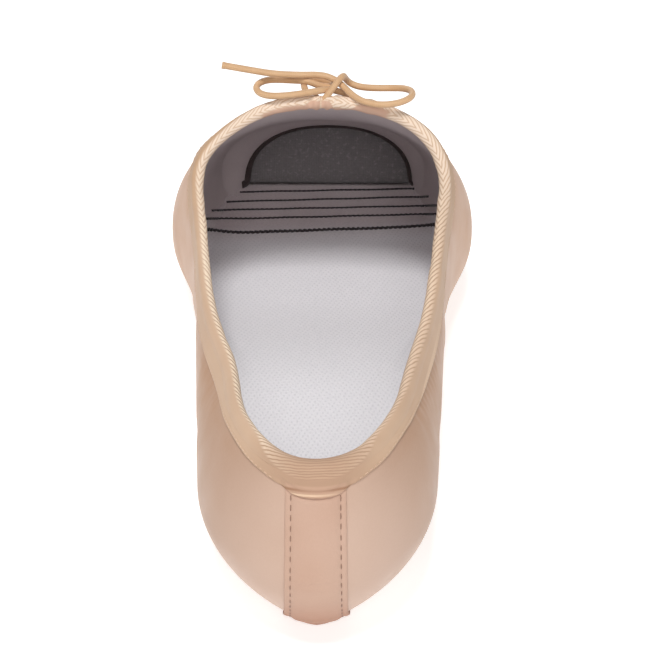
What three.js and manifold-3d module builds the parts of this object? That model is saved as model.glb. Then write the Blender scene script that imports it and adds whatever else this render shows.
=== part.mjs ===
import * as THREE from "three";
import { mergeVertices } from "three/addons/utils/BufferGeometryUtils.js";
import Module from "manifold-3d";

const wasm = await Module();
wasm.setup();

// Pointe shoe, in millimetres: X across, +Y towards the toe, +Z up, standing on its sole at Z = 0.
const LENGTH = 240; // heel to toe along the last
const HEEL_CLOSING = 36; // length over which the heel rounds shut in plan
const HEEL_FULLNESS = 2.2;
const HEEL_TUCK = 9.4; // how far the heel seat lies ahead of the heel bulge
const HEEL_LEAN = 6.8; // how far the collar at the heel leans forward of the bulge
const HEEL_LEAN_HEIGHT = 51;
const HEEL_BLEND = 62; // length over which tuck and lean fade out
const TOE_CLOSING = 14; // length of the rounded edge of the platform
const TOE_SQUARENESS = 4.5;
const TOE_TRIM = 0.7; // planar cut that makes the platform flat
const ARCH_HEIGHT = 6.5;
const ARCH_BACK = -62;
const ARCH_FRONT = 30;
const TOE_SPRING = 2.2;
const TOE_SPRING_START = 82;
const OUTSOLE_THICK = 2.6;
const OUTSOLE_TIP_ROUND = 24;
const OUTSOLE_HEEL_ROUND = 12;
const WALL_QUARTER = 1.5;
const WALL_BOX = 2.6;
const FIT = 0.3; // gap between pieces that touch
const FLANGE = 4; // lasting margin of the upper under the insole
const INSOLE_THICK = 2.4;
const INSOLE_END = 100;
const INSOLE_FLATTEN = 0.4; // share of the arch that the insole board bridges
const PAD_FACE = 100.4;
const BINDING_DEPTH = 7;
const BINDING_PROUD = 0.6;
const STRIP_HALF = 7;
const STRIP_PROUD = 1.2;
const CORD_DIAMETER = 1.8;
const LEFT_SHOULDER = 0.1; // how much flatter the left shoulder of the throat is than the right
const FRAME_SHIFT = (STRIP_PROUD + TOE_TRIM) / 2; // centres the length on the origin

// One row per cross-section: half_width and its height, half-width of the flat bottom,
// ridge height (above the opening it is the crown of the closed last), fullness above and below.
const SECTIONS = [
  { y: -120, half_width: 26.5, wide_z: 22.5, flat_half: 8, ridge_z: 58, full_up: 2, full_low: 1.62 },
  { y: -105, half_width: 27.2, wide_z: 22.5, flat_half: 10, ridge_z: 55.4, full_up: 2, full_low: 1.64 },
  { y: -90, half_width: 28.2, wide_z: 22.5, flat_half: 11.5, ridge_z: 54.3, full_up: 2, full_low: 1.68 },
  { y: -75, half_width: 29.3, wide_z: 22.5, flat_half: 12, ridge_z: 54.3, full_up: 2, full_low: 1.75 },
  { y: -60, half_width: 30.3, wide_z: 22.5, flat_half: 12, ridge_z: 55.5, full_up: 2, full_low: 1.85 },
  { y: -20, half_width: 32.8, wide_z: 23, flat_half: 12, ridge_z: 72, full_up: 2.2, full_low: 2 },
  { y: 10, half_width: 35.8, wide_z: 23, flat_half: 18, ridge_z: 77, full_up: 2.5, full_low: 2.1 },
  { y: 30, half_width: 40.3, wide_z: 22.5, flat_half: 24, ridge_z: 70.8, full_up: 2.5, full_low: 2.2 },
  { y: 45, half_width: 43.6, wide_z: 21, flat_half: 27, ridge_z: 62.5, full_up: 2.1, full_low: 2.3 },
  { y: 70, half_width: 39.6, wide_z: 19, flat_half: 26, ridge_z: 48.8, full_up: 2.2, full_low: 2.4 },
  { y: 95, half_width: 33.4, wide_z: 16.5, flat_half: 22.5, ridge_z: 36.5, full_up: 2.2, full_low: 2.5 },
  { y: 120, half_width: 26, wide_z: 14, flat_half: 17.5, ridge_z: 25.5, full_up: 2.2, full_low: 2.5 },
];

// Plan of the outsole, heel to tip, before both ends are rounded.
const OUTSOLE = [
  { y: -104.5, half_width: 9.4 },
  { y: -85, half_width: 11.6 },
  { y: -55, half_width: 11.6 },
  { y: -22, half_width: 11.2 },
  { y: 6, half_width: 17 },
  { y: 28, half_width: 24.6 },
  { y: 48, half_width: 27.6 },
  { y: 70, half_width: 26.6 },
  { y: 97, half_width: 20.8 },
];

// Edge of the opening seen from the side, heel to throat.
const TOPLINE = [
  { y: -130, z: 50.3 },
  { y: -112, z: 49.3 },
  { y: -95, z: 47.5 },
  { y: -80, z: 45.2 },
  { y: -60, z: 43.2 },
  { y: -25, z: 43.6 },
  { y: 5, z: 47 },
  { y: 20, z: 51.5 },
  { y: 27, z: 57.5 },
  { y: 30, z: 63 },
  { y: 31, z: 70 },
  { y: 31.4, z: 78 },
];

// Smooth curve through table values.
function spline(xs, ys) {
  const n = xs.length;
  const m = new Array(n).fill(0);
  const c = new Array(n).fill(0);
  const d = new Array(n).fill(0);
  for (let i = 1; i < n - 1; i++) {
    const a = xs[i] - xs[i - 1];
    const b = xs[i + 1] - xs[i];
    const r = 6 * ((ys[i + 1] - ys[i]) / b - (ys[i] - ys[i - 1]) / a);
    const w = 2 * (a + b) - a * c[i - 1];
    c[i] = b / w;
    d[i] = (r - a * d[i - 1]) / w;
  }
  for (let i = n - 2; i > 0; i--) m[i] = d[i] - c[i] * m[i + 1];
  return (x) => {
    let i = 0;
    while (i < n - 2 && x > xs[i + 1]) i++;
    const h = xs[i + 1] - xs[i];
    const a = xs[i + 1] - x;
    const b = x - xs[i];
    return (
      (m[i] * a ** 3 + m[i + 1] * b ** 3) / (6 * h) +
      (ys[i] / h - (m[i] * h) / 6) * a +
      (ys[i + 1] / h - (m[i + 1] * h) / 6) * b
    );
  };
}
const clamp = (v, lo, hi) => Math.min(hi, Math.max(lo, v));
const ease = (v) => clamp(v, 0, 1) ** 2 * (3 - 2 * clamp(v, 0, 1));
const stationY = SECTIONS.map((s) => s.y);
const column = {};
for (const key of ["half_width", "wide_z", "flat_half", "ridge_z", "full_up", "full_low"])
  column[key] = spline(stationY, SECTIONS.map((s) => s[key]));

// Height of the underside of the outsole: flat heel, arch, flat tread, toe spring.
const archZ = (y) => ARCH_HEIGHT * Math.sin(Math.PI * clamp((y - ARCH_BACK) / (ARCH_FRONT - ARCH_BACK), 0, 1)) ** 2;
function treadZ(y) {
  const spring = TOE_SPRING * Math.max(0, (y - TOE_SPRING_START) / (LENGTH / 2 - TOE_SPRING_START)) ** 2;
  return archZ(y) + spring;
}
const bottomZ = (y) => treadZ(y) + OUTSOLE_THICK + FIT;

// Point of the closed last: part 0 is the flat bottom, 1 the lower side, 2 the upper side; a runs 0 to 1.
function lastPoint(q, part, a) {
  const w = column.half_width(q);
  const zw = column.wide_z(q);
  const f = column.flat_half(q);
  const zr = column.ridge_z(q);
  const b = bottomZ(q);
  const s = Math.max(0, Math.sin((a * Math.PI) / 2));
  const c = Math.max(0, Math.cos((a * Math.PI) / 2));
  let x, z;
  if (part === 0) {
    x = f * a;
    z = b;
  } else if (part === 1) {
    const n = 2 / column.full_low(q);
    x = f + (w - f) * s ** n;
    z = zw - (zw - b) * c ** n;
  } else {
    const n = 2 / column.full_up(q);
    x = a >= 1 ? 0 : w * c ** n;
    z = zw + (zr - zw) * s ** n;
  }
  const back = clamp((HEEL_CLOSING - LENGTH / 2 - q) / HEEL_CLOSING, 0, 1);
  x *= Math.sqrt(1 - back ** HEEL_FULLNESS);
  const fade = 1 - ease((q + LENGTH / 2) / HEEL_BLEND);
  const lean = clamp((z - zw) / (HEEL_LEAN_HEIGHT - zw), 0, 2);
  const tuck = clamp((zw - z) / (zw - b), 0, 1);
  const y = q + fade * (HEEL_LEAN * lean ** 1.6 + HEEL_TUCK * tuck ** 2.2);
  const front = clamp((q - LENGTH / 2 + TOE_CLOSING) / TOE_CLOSING, 0, 1);
  const cap = (1 - front ** TOE_SQUARENESS) ** (1 / TOE_SQUARENESS);
  const mid = b + 0.48 * (zr - b);
  return new THREE.Vector3(x * cap, y, mid + (z - mid) * cap);
}

// Stations and levels of the surface grid.
const HEEL_ROWS = 9;
const BODY_ROWS = 22;
const TOE_ROWS = 8;
const stations = [];
for (let i = 0; i < HEEL_ROWS; i++)
  stations.push(-LENGTH / 2 + HEEL_CLOSING * (1 - Math.cos((i / HEEL_ROWS) * (Math.PI / 2))));
for (let i = 0; i < BODY_ROWS; i++)
  stations.push(-LENGTH / 2 + HEEL_CLOSING + (i / BODY_ROWS) * (LENGTH - HEEL_CLOSING - TOE_CLOSING));
for (let i = 0; i <= TOE_ROWS; i++)
  stations.push(LENGTH / 2 - TOE_CLOSING + TOE_CLOSING * Math.sin((i / TOE_ROWS) * (Math.PI / 2)) ** 0.7);
const LEVELS = [
  { part: 0, count: 2 },
  { part: 1, count: 6 },
  { part: 2, count: 10 },
];

// Clean closed geometry from points and quads.
function closed(points, faces) {
  const g = new THREE.BufferGeometry();
  g.setAttribute("position", new THREE.Float32BufferAttribute(points.flatMap((p) => [p.x, p.y, p.z]), 3));
  g.setIndex(faces);
  const merged = mergeVertices(g, 1e-3);
  const index = [];
  const old = merged.index.array;
  for (let i = 0; i < old.length; i += 3)
    if (old[i] !== old[i + 1] && old[i + 1] !== old[i + 2] && old[i] !== old[i + 2])
      index.push(old[i], old[i + 1], old[i + 2]);
  merged.setIndex(index);
  merged.computeVertexNormals();
  return merged;
}
// The throat's left shoulder is a little flatter than its right.
const leftSlope = (p) => 1 - LEFT_SHOULDER * Math.exp(-(((p.y - 33) / 22) ** 2)) * ease((p.z - 53) / 14);
function lastGeometry() {
  const points = [];
  const faces = [];
  let ring = 0;
  for (const q of stations) {
    const half = [];
    for (const { part, count } of LEVELS)
      for (let j = 0; j < count + (part === 2 ? 1 : 0); j++) half.push(lastPoint(q, part, j / count));
    const left = half.slice(1, -1).reverse().map((p) => new THREE.Vector3(-p.x * leftSlope(p), p.y, p.z));
    const loop = half.concat(left);
    ring = loop.length;
    points.push(...loop);
  }
  for (let i = 0; i + 1 < stations.length; i++)
    for (let j = 0; j < ring; j++) {
      const a = i * ring + j;
      const b = i * ring + ((j + 1) % ring);
      faces.push(a, b + ring, b, a, a + ring, b + ring);
    }
  return closed(points, faces);
}
const LAST = lastGeometry();

// The last grown outwards by a distance that may vary along the length.
function grown(distance) {
  const g = LAST.clone();
  const p = g.attributes.position;
  const n = LAST.attributes.normal;
  for (let i = 0; i < p.count; i++) {
    const d = distance(p.getY(i));
    p.setXYZ(i, p.getX(i) + d * n.getX(i), p.getY(i) + d * n.getY(i), p.getZ(i) + d * n.getZ(i));
  }
  return solid(g);
}
function solid(geometry) {
  const g = geometry.clone();
  g.deleteAttribute("normal");
  g.deleteAttribute("uv");
  const merged = mergeVertices(g, 1e-3);
  return new wasm.Manifold(
    new wasm.Mesh({
      numProp: 3,
      vertProperties: new Float32Array(merged.attributes.position.array),
      triVerts: new Uint32Array(merged.index.array),
    }),
  );
}
// A side-view outline (y, z) stretched across X, and a plan outline (x, y) stretched up Z.
const SIDE = new THREE.Matrix4().set(0, 0, 1, 0, 1, 0, 0, 0, 0, 1, 0, 0, 0, 0, 0, 1);
function acrossX(outline, width) {
  const g = new THREE.ExtrudeGeometry(new THREE.Shape(outline), { depth: width, bevelEnabled: false });
  return solid(g.translate(0, 0, -width / 2).applyMatrix4(SIDE));
}
function upZ(outline, z0, z1) {
  const g = new THREE.ExtrudeGeometry(new THREE.Shape(outline), { depth: z1 - z0, bevelEnabled: false });
  return solid(g.translate(0, 0, z0));
}
const box = (x0, x1, y0, y1, z0, z1) =>
  solid(new THREE.BoxGeometry(x1 - x0, y1 - y0, z1 - z0).translate((x0 + x1) / 2, (y0 + y1) / 2, (z0 + z1) / 2));

// Opening: everything above the topline, lowered square to its own direction.
const along = [0];
TOPLINE.forEach((p, i) => {
  if (i) along.push(along[i - 1] + Math.hypot(p.y - TOPLINE[i - 1].y, p.z - TOPLINE[i - 1].z));
});
const topY = spline(along, TOPLINE.map((p) => p.y));
const topZ = spline(along, TOPLINE.map((p) => p.z));
const TOP_STEPS = 44;
function opening(lowered) {
  const end = along[along.length - 1];
  const edge = [];
  for (let i = 0; i <= TOP_STEPS; i++) {
    const s = (i / TOP_STEPS) * end;
    const t = new THREE.Vector2(topY(s + 0.01) - topY(s - 0.01), topZ(s + 0.01) - topZ(s - 0.01)).normalize();
    edge.push(new THREE.Vector2(topY(s) + t.y * lowered, topZ(s) - t.x * lowered));
  }
  edge.push(new THREE.Vector2(edge[edge.length - 1].x, 120), new THREE.Vector2(-140, 120));
  return acrossX(edge, 140);
}

const wallAt = (y) => WALL_QUARTER + (WALL_BOX - WALL_QUARTER) * ease((y - 20) / 30);
const platformCut = box(-60, 60, LENGTH / 2 - TOE_TRIM, LENGTH, -20, 100);
const outer = grown(() => 0).subtract(platformCut);
const cavity = grown((y) => -wallAt(y));
const roomy = grown((y) => -wallAt(y) - FIT);

// Plan outline of the opening under the upper: the flat of the bottom, pulled in by the lasting margin.
function holeOutline(inset, heel, tip, tipRound) {
  const side = [];
  for (const q of stations) {
    const p = lastPoint(q, 0, 1);
    if (p.y < heel + 0.5 || p.y > tip - 0.5) continue;
    const back = clamp((heel + 14 - p.y) / 14, 0, 1);
    const front = clamp((p.y - tip + tipRound) / tipRound, 0, 1);
    side.push(new THREE.Vector2((p.x - inset) * Math.sqrt(1 - back ** 2) * Math.sqrt(1 - front ** 2.4), p.y));
  }
  return bothSides(side, heel, tip);
}
function bothSides(side, y0, y1) {
  const right = side.filter((p) => p.x > 0.3);
  const left = right.map((p) => new THREE.Vector2(-p.x, p.y)).reverse();
  return [new THREE.Vector2(0, y0), ...right, new THREE.Vector2(0, y1), ...left];
}
function outsoleOutline() {
  const half = spline(OUTSOLE.map((r) => r.y), OUTSOLE.map((r) => r.half_width));
  const y0 = OUTSOLE[0].y;
  const y1 = OUTSOLE[OUTSOLE.length - 1].y;
  const side = [];
  const N = 56;
  for (let i = 1; i < N; i++) {
    const y = y0 + (y1 - y0) * (0.5 - 0.5 * Math.cos((Math.PI * i) / N));
    const back = clamp((y0 + OUTSOLE_HEEL_ROUND - y) / OUTSOLE_HEEL_ROUND, 0, 1);
    const front = clamp((y - y1 + OUTSOLE_TIP_ROUND) / OUTSOLE_TIP_ROUND, 0, 1);
    side.push(new THREE.Vector2(half(y) * Math.sqrt(1 - back ** 2) * Math.sqrt(1 - front ** 2.3), y));
  }
  return bothSides(side, y0, y1);
}
// Slab that follows the tread between two heights above it; sink gives the shares of the arch taken off below and above.
function floorSlab(low, high, y0, y1, sink = [0, 0]) {
  const N = 40;
  const under = [];
  const over = [];
  for (let i = 0; i <= N; i++) {
    const y = y0 + ((y1 - y0) * i) / N;
    under.push(new THREE.Vector2(y, treadZ(y) + low - sink[0] * archZ(y)));
    over.push(new THREE.Vector2(y, treadZ(y) + high - sink[1] * archZ(y)));
  }
  return acrossX(under.concat(over.reverse()), 140);
}

const hole = holeOutline(FLANGE, -100, 88, 22);
const upper = outer
  .subtract(cavity)
  .subtract(opening(BINDING_DEPTH + FIT))
  .subtract(upZ(hole, -5, 16));

const binding = grown(() => BINDING_PROUD)
  .subtract(grown((y) => -wallAt(y) - BINDING_PROUD))
  .intersect(opening(BINDING_DEPTH))
  .subtract(opening(0));

const outsole = upZ(outsoleOutline(), -5, 20).intersect(
  floorSlab(0, OUTSOLE_THICK, -125, 110),
);

const floorLow = OUTSOLE_THICK + FIT + WALL_BOX + 0.1;
const plug = upZ(holeOutline(FLANGE + 0.5, -99.4, 87.4, 22), -5, 20).intersect(
  floorSlab(OUTSOLE_THICK + FIT, floorLow + 1, -125, 110, [0, 0.26]),
);
const insole = roomy
  .intersect(floorSlab(floorLow, floorLow + INSOLE_THICK, -130, 130, [0.15, INSOLE_FLATTEN]))
  .intersect(box(-60, 60, -130, INSOLE_END, -5, 60))
  .add(plug);

const toePad = roomy.intersect(box(-60, 60, PAD_FACE, 130, -5, 80));

const backStrip = grown(() => STRIP_PROUD)
  .subtract(grown(() => FIT))
  .intersect(box(-STRIP_HALF, STRIP_HALF, -140, -100, 3.2, 80))
  .subtract(opening(BINDING_DEPTH + FIT + 0.4));

// Drawstring bow on the throat: one row per point of each cord.
const BOW_KNOT = { x: 3.4, y: 35, z: 73, across: 2.8, along: 2.6, high: 2.2 };
const BOW = {
  bow_loop_left: [
    { x: -0.9, y: 35.1, z: 72.8 },
    { x: -3.8, y: 35.6, z: 73.5 },
    { x: -7.1, y: 36.8, z: 73.3 },
    { x: -10.4, y: 37.6, z: 73.1 },
    { x: -13.2, y: 37.5, z: 73.2 },
    { x: -15.6, y: 36.6, z: 73.3 },
    { x: -17.4, y: 34.9, z: 73.1 },
    { x: -17.9, y: 33, z: 72.6 },
    { x: -16.9, y: 31.2, z: 72.1 },
    { x: -14.8, y: 30, z: 71.9 },
    { x: -11.6, y: 29.5, z: 72 },
    { x: -7.2, y: 29.6, z: 72.4 },
    { x: -2.9, y: 30.3, z: 72.8 },
    { x: -0.2, y: 31.8, z: 72.7 },
  ],
  bow_loop_right: [
    { x: 6.9, y: 37.6, z: 73.3 },
    { x: 8.4, y: 38.9, z: 71.5 },
    { x: 12.4, y: 38.4, z: 70.5 },
    { x: 15.6, y: 38.1, z: 70.5 },
    { x: 19.4, y: 37.7, z: 70.7 },
    { x: 22.5, y: 36.4, z: 71.2 },
    { x: 24.5, y: 34.2, z: 71.5 },
    { x: 24.8, y: 31.6, z: 71.4 },
    { x: 23.4, y: 29.2, z: 71.2 },
    { x: 20.9, y: 28.1, z: 70.7 },
    { x: 17.5, y: 27.6, z: 70.4 },
    { x: 14, y: 27.8, z: 70.5 },
    { x: 11.1, y: 28.8, z: 70.9 },
    { x: 8.7, y: 30.6, z: 71.6 },
    { x: 7.2, y: 32.3, z: 72.3 },
  ],
  bow_end_upper: [
    { x: -0.6, y: 36.1, z: 75.3 },
    { x: -5.1, y: 35.6, z: 75.5 },
    { x: -9.8, y: 35.2, z: 75.8 },
    { x: -14.4, y: 35, z: 76.3 },
    { x: -19.6, y: 34.8, z: 77.3 },
    { x: -23.7, y: 34.7, z: 78.1 },
    { x: -27.2, y: 34.6, z: 78.8 },
  ],
  bow_end_lower: [
    { x: 6.3, y: 36.9, z: 69.6 },
    { x: 7.2, y: 40.2, z: 67.5 },
    { x: 6.6, y: 44.2, z: 64.6 },
    { x: 4.7, y: 48.4, z: 62.1 },
    { x: 2, y: 52.6, z: 59.7 },
  ],
};
function tube(rows) {
  const path = new THREE.CatmullRomCurve3(rows.map((p) => new THREE.Vector3(p.x, p.y, p.z)));
  const ring = new THREE.Shape();
  const SIDES = 8;
  for (let i = 0; i < SIDES; i++) {
    const a = (i / SIDES) * 2 * Math.PI;
    const p = [(CORD_DIAMETER / 2) * Math.cos(a), (CORD_DIAMETER / 2) * Math.sin(a)];
    if (i) ring.lineTo(...p);
    else ring.moveTo(...p);
  }
  const steps = Math.ceil(path.getLength() / (2 * CORD_DIAMETER));
  return solid(new THREE.ExtrudeGeometry(ring, { steps, extrudePath: path, bevelEnabled: false }));
}
function ball(k) {
  const g = new THREE.SphereGeometry(1, 14, 8);
  return solid(g.scale(k.across, k.along, k.high).translate(k.x, k.y, k.z));
}

const shoe = new THREE.Group();
shoe.name = "pointe_shoe";
function addPiece(name, body, colour, roughness) {
  const moved = body.translate([0, FRAME_SHIFT, 0]);
  const m = moved.getMesh();
  const g = new THREE.BufferGeometry();
  g.setAttribute("position", new THREE.BufferAttribute(new Float32Array(m.vertProperties), 3));
  g.setIndex(new THREE.BufferAttribute(new Uint32Array(m.triVerts), 1));
  const mesh = new THREE.Mesh(g, new THREE.MeshStandardMaterial({ color: colour, roughness }));
  mesh.name = name;
  shoe.add(mesh);
}
addPiece("outsole", outsole, 0xb98f6a, 0.8);
addPiece("upper", upper, 0xd8b49b, 0.45);
addPiece("binding", binding, 0xcfac86, 0.5);
addPiece("back_strip", backStrip, 0xd7b6a4, 0.6);
addPiece("insole", insole, 0xe6e4e4, 0.9);
addPiece("toe_pad", toePad, 0x4a4547, 0.9);
addPiece("bow_knot", ball(BOW_KNOT), 0xd2bc98, 0.7);
for (const [name, rows] of Object.entries(BOW)) addPiece(name, tube(rows), 0xd2bc98, 0.7);

export default shoe;
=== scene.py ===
import math

import bpy
import numpy as np
from mathutils import Matrix, Vector
from mathutils.bvhtree import BVHTree
from mathutils.kdtree import KDTree


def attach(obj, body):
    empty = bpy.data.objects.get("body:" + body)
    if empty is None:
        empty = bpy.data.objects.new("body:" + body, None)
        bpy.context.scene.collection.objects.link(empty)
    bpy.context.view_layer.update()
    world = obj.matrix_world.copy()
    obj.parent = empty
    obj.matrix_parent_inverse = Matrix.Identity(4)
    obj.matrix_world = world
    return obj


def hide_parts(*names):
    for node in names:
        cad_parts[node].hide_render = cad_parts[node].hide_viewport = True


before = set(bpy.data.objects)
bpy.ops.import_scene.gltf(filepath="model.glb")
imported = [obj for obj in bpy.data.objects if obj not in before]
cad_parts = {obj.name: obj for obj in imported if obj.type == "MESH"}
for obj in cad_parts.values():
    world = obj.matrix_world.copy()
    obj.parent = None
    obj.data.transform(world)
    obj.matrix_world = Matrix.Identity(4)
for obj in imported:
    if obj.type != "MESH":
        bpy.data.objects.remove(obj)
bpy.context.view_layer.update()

RNG = np.random.default_rng(7)
MM = 0.001

# ---------------------------------------------------------------- last (the same tables as the solids, millimetres)
LENGTH = 240.0
HEEL_CLOSING, HEEL_FULLNESS = 36.0, 2.2
HEEL_TUCK, HEEL_LEAN, HEEL_LEAN_HEIGHT, HEEL_BLEND = 9.4, 6.8, 51.0, 62.0
TOE_CLOSING, TOE_SQUARENESS, TOE_TRIM = 14.0, 4.5, 0.7
ARCH_HEIGHT, ARCH_BACK, ARCH_FRONT = 6.5, -62.0, 30.0
TOE_SPRING, TOE_SPRING_START = 2.2, 82.0
OUTSOLE_THICK, FIT = 2.6, 0.3
WALL_QUARTER, WALL_BOX = 1.5, 2.6
LEFT_SHOULDER = 0.10
LEFT_LEAN = 1.4
SHIFT = 0.95  # the last's own Y to the frame's Y

SECTIONS = np.array([
    # y, half_width, wide_z, flat_half, ridge_z, full_up, full_low
    (-120, 26.5, 22.5, 8.0, 58.0, 2.0, 1.62),
    (-105, 27.2, 22.5, 10.0, 55.4, 2.0, 1.64),
    (-90, 28.2, 22.5, 11.5, 54.3, 2.0, 1.68),
    (-75, 29.3, 22.5, 12.0, 54.3, 2.0, 1.75),
    (-60, 30.3, 22.5, 12.0, 55.5, 2.0, 1.85),
    (-20, 32.8, 23.0, 12.0, 72.0, 2.2, 2.0),
    (10, 35.8, 23.0, 18.0, 77.0, 2.5, 2.1),
    (30, 40.3, 22.5, 24.0, 70.8, 2.5, 2.2),
    (45, 43.6, 21.0, 27.0, 62.5, 2.1, 2.3),
    (70, 39.6, 19.0, 26.0, 48.8, 2.2, 2.4),
    (95, 33.4, 16.5, 22.5, 36.5, 2.2, 2.5),
    (120, 26.0, 14.0, 17.5, 25.5, 2.2, 2.5),
])
TOPLINE = np.array([
    (-130, 50.3), (-112, 49.3), (-95, 47.5), (-80, 45.2), (-60, 43.2), (-25, 43.6), (5, 47.0),
    (20, 51.5), (27, 57.5), (30, 63.0), (31, 70.0), (31.4, 78.0),
])
OUTSOLE = np.array([
    (-104.5, 9.4), (-85, 11.6), (-55, 11.6), (-22, 11.2), (6, 17.0), (28, 24.6), (48, 27.6), (70, 26.6), (97, 20.8),
])
OUTSOLE_TIP_ROUND, OUTSOLE_HEEL_ROUND = 24.0, 12.0


def spline(xs, ys):
    xs, ys = np.asarray(xs, float), np.asarray(ys, float)
    n = len(xs)
    h = np.diff(xs)
    a = np.zeros((n, n))
    b = np.zeros(n)
    a[0, 0] = a[-1, -1] = 1
    for i in range(1, n - 1):
        a[i, i - 1], a[i, i], a[i, i + 1] = h[i - 1], 2 * (h[i - 1] + h[i]), h[i]
        b[i] = 6 * ((ys[i + 1] - ys[i]) / h[i] - (ys[i] - ys[i - 1]) / h[i - 1])
    m = np.linalg.solve(a, b)

    def f(x):
        x = np.asarray(x, float)
        i = np.clip(np.searchsorted(xs, x) - 1, 0, n - 2)
        p, c, hh = xs[i + 1] - x, x - xs[i], h[i]
        return (m[i] * p**3 + m[i + 1] * c**3) / (6 * hh) + (ys[i] / hh - m[i] * hh / 6) * p + (ys[i + 1] / hh - m[i + 1] * hh / 6) * c

    return f


COL = [spline(SECTIONS[:, 0], SECTIONS[:, k]) for k in range(1, 7)]


def ease(v):
    v = np.clip(v, 0, 1)
    return v * v * (3 - 2 * v)


def tread(y):
    y = np.asarray(y, float)
    arch = ARCH_HEIGHT * np.sin(np.pi * np.clip((y - ARCH_BACK) / (ARCH_FRONT - ARCH_BACK), 0, 1)) ** 2
    spring = TOE_SPRING * np.maximum(0, (y - TOE_SPRING_START) / (LENGTH / 2 - TOE_SPRING_START)) ** 2
    return arch + spring


def bottom(y):
    return tread(y) + OUTSOLE_THICK + FIT


def wall_at(y):
    return WALL_QUARTER + (WALL_BOX - WALL_QUARTER) * ease((y - 20) / 30)


def last_point(q, part, a):
    """Point of the closed last in its own millimetres. part 0 is the flat bottom, 1 the lower side, 2 the upper side."""
    q, a = np.broadcast_arrays(np.asarray(q, float), np.asarray(a, float))
    w, zw, f, zr, nu, nl = [c(q) for c in COL]
    b = bottom(q)
    s = np.maximum(np.sin(a * np.pi / 2), 0)
    c = np.maximum(np.cos(a * np.pi / 2), 0)
    c = np.where(a >= 1, 0, c)
    if part == 0:
        x, z = f * a, b + 0 * a
    elif part == 1:
        x, z = f + (w - f) * s ** (2 / nl), zw - (zw - b) * c ** (2 / nl)
    else:
        x, z = w * c ** (2 / nu), zw + (zr - zw) * s ** (2 / nu)
    back = np.clip((HEEL_CLOSING - LENGTH / 2 - q) / HEEL_CLOSING, 0, 1)
    x = x * np.sqrt(np.maximum(1 - back**HEEL_FULLNESS, 0))
    fade = 1 - ease((q + LENGTH / 2) / HEEL_BLEND)
    lean = np.clip((z - zw) / (HEEL_LEAN_HEIGHT - zw), 0, 2)
    tuck = np.clip((zw - z) / (zw - b), 0, 1)
    y = q + fade * (HEEL_LEAN * lean**1.6 + HEEL_TUCK * tuck**2.2)
    front = np.clip((q - LENGTH / 2 + TOE_CLOSING) / TOE_CLOSING, 0, 1)
    cap = np.maximum(1 - front**TOE_SQUARENESS, 0) ** (1 / TOE_SQUARENESS)
    mid = b + 0.48 * (zr - b)
    y = np.minimum(y, LENGTH / 2 - TOE_TRIM)
    return np.stack([x * cap, y, mid + (z - mid) * cap], -1)


# topline as a fine side-view curve
_al = np.concatenate([[0], np.cumsum(np.hypot(*np.diff(TOPLINE, axis=0).T))])
_ty, _tz = spline(_al, TOPLINE[:, 0]), spline(_al, TOPLINE[:, 1])
_s = np.linspace(0, _al[-1], 500)
TOP_CURVE = np.stack([_ty(_s), _tz(_s)], 1)


def above_topline(y, z):
    """Side-view distance from the topline, positive inside the opening."""
    p = np.stack([y, z], -1).reshape(-1, 2)
    d = np.full(len(p), 1e9)
    a, b = TOP_CURVE[:-1], TOP_CURVE[1:]
    ab = b - a
    for k in range(0, len(p), 4000):
        q = p[k : k + 4000, None, :]
        t = np.clip(((q - a) * ab).sum(-1) / (ab * ab).sum(-1), 0, 1)
        d[k : k + 4000] = np.sqrt((((a + t[..., None] * ab) - q) ** 2).sum(-1)).min(1)
    poly = np.vstack([TOP_CURVE, [[TOP_CURVE[-1, 0], 140], [-140, 140]]])
    inside = np.zeros(len(p), bool)
    x0, y0 = poly[-1]
    for x1, y1 in poly:
        cross = ((y0 > p[:, 1]) != (y1 > p[:, 1])) & (p[:, 0] < (x1 - x0) * (p[:, 1] - y0) / (y1 - y0 + 1e-12) + x0)
        inside ^= cross
        x0, y0 = x1, y1
    return np.where(inside, d, -d).reshape(np.shape(y))


# ---------------------------------------------------------------- mesh helpers
def slope_left(v):
    """The throat's left shoulder is a little flatter than its right, and the left quarter leans in a little more at the top."""
    g = np.exp(-(((v[:, 1] - 33.0) / 22.0) ** 2)) * ease((v[:, 2] - 53.0) / 14.0)
    v[:, 0] = np.where(v[:, 0] < 0, v[:, 0] * (1 - LEFT_SHOULDER * g), v[:, 0])
    h = np.exp(-(((v[:, 1] + 63.0) / 19.0) ** 2)) * ease((v[:, 2] - 29.0) / 14.0)
    v[:, 0] += LEFT_LEAN * h * ease((-v[:, 0] - 8.0) / 10.0)
    return v


def make_mesh(name, verts, faces, mats=(), face_mats=None, uv=None, smooth=True, shift=SHIFT, worn=True):
    v = np.asarray(verts, float).copy()
    if worn:
        v = slope_left(v)
    v[:, 1] += shift
    me = bpy.data.meshes.new(name)
    me.from_pydata((v * MM).tolist(), [], [list(map(int, f)) for f in faces])
    for m in mats:
        me.materials.append(m)
    if face_mats is not None:
        me.polygons.foreach_set("material_index", np.asarray(face_mats, np.int32))
    me.polygons.foreach_set("use_smooth", np.full(len(me.polygons), smooth))
    if uv is not None:
        layer = me.uv_layers.new(name="UVMap")
        loops = np.zeros(len(me.loops), np.int32)
        me.loops.foreach_get("vertex_index", loops)
        layer.data.foreach_set("uv", np.asarray(uv, np.float32)[loops].ravel())
    me.validate()
    me.update()
    ob = bpy.data.objects.new(name, me)
    bpy.context.scene.collection.objects.link(ob)
    return ob


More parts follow.
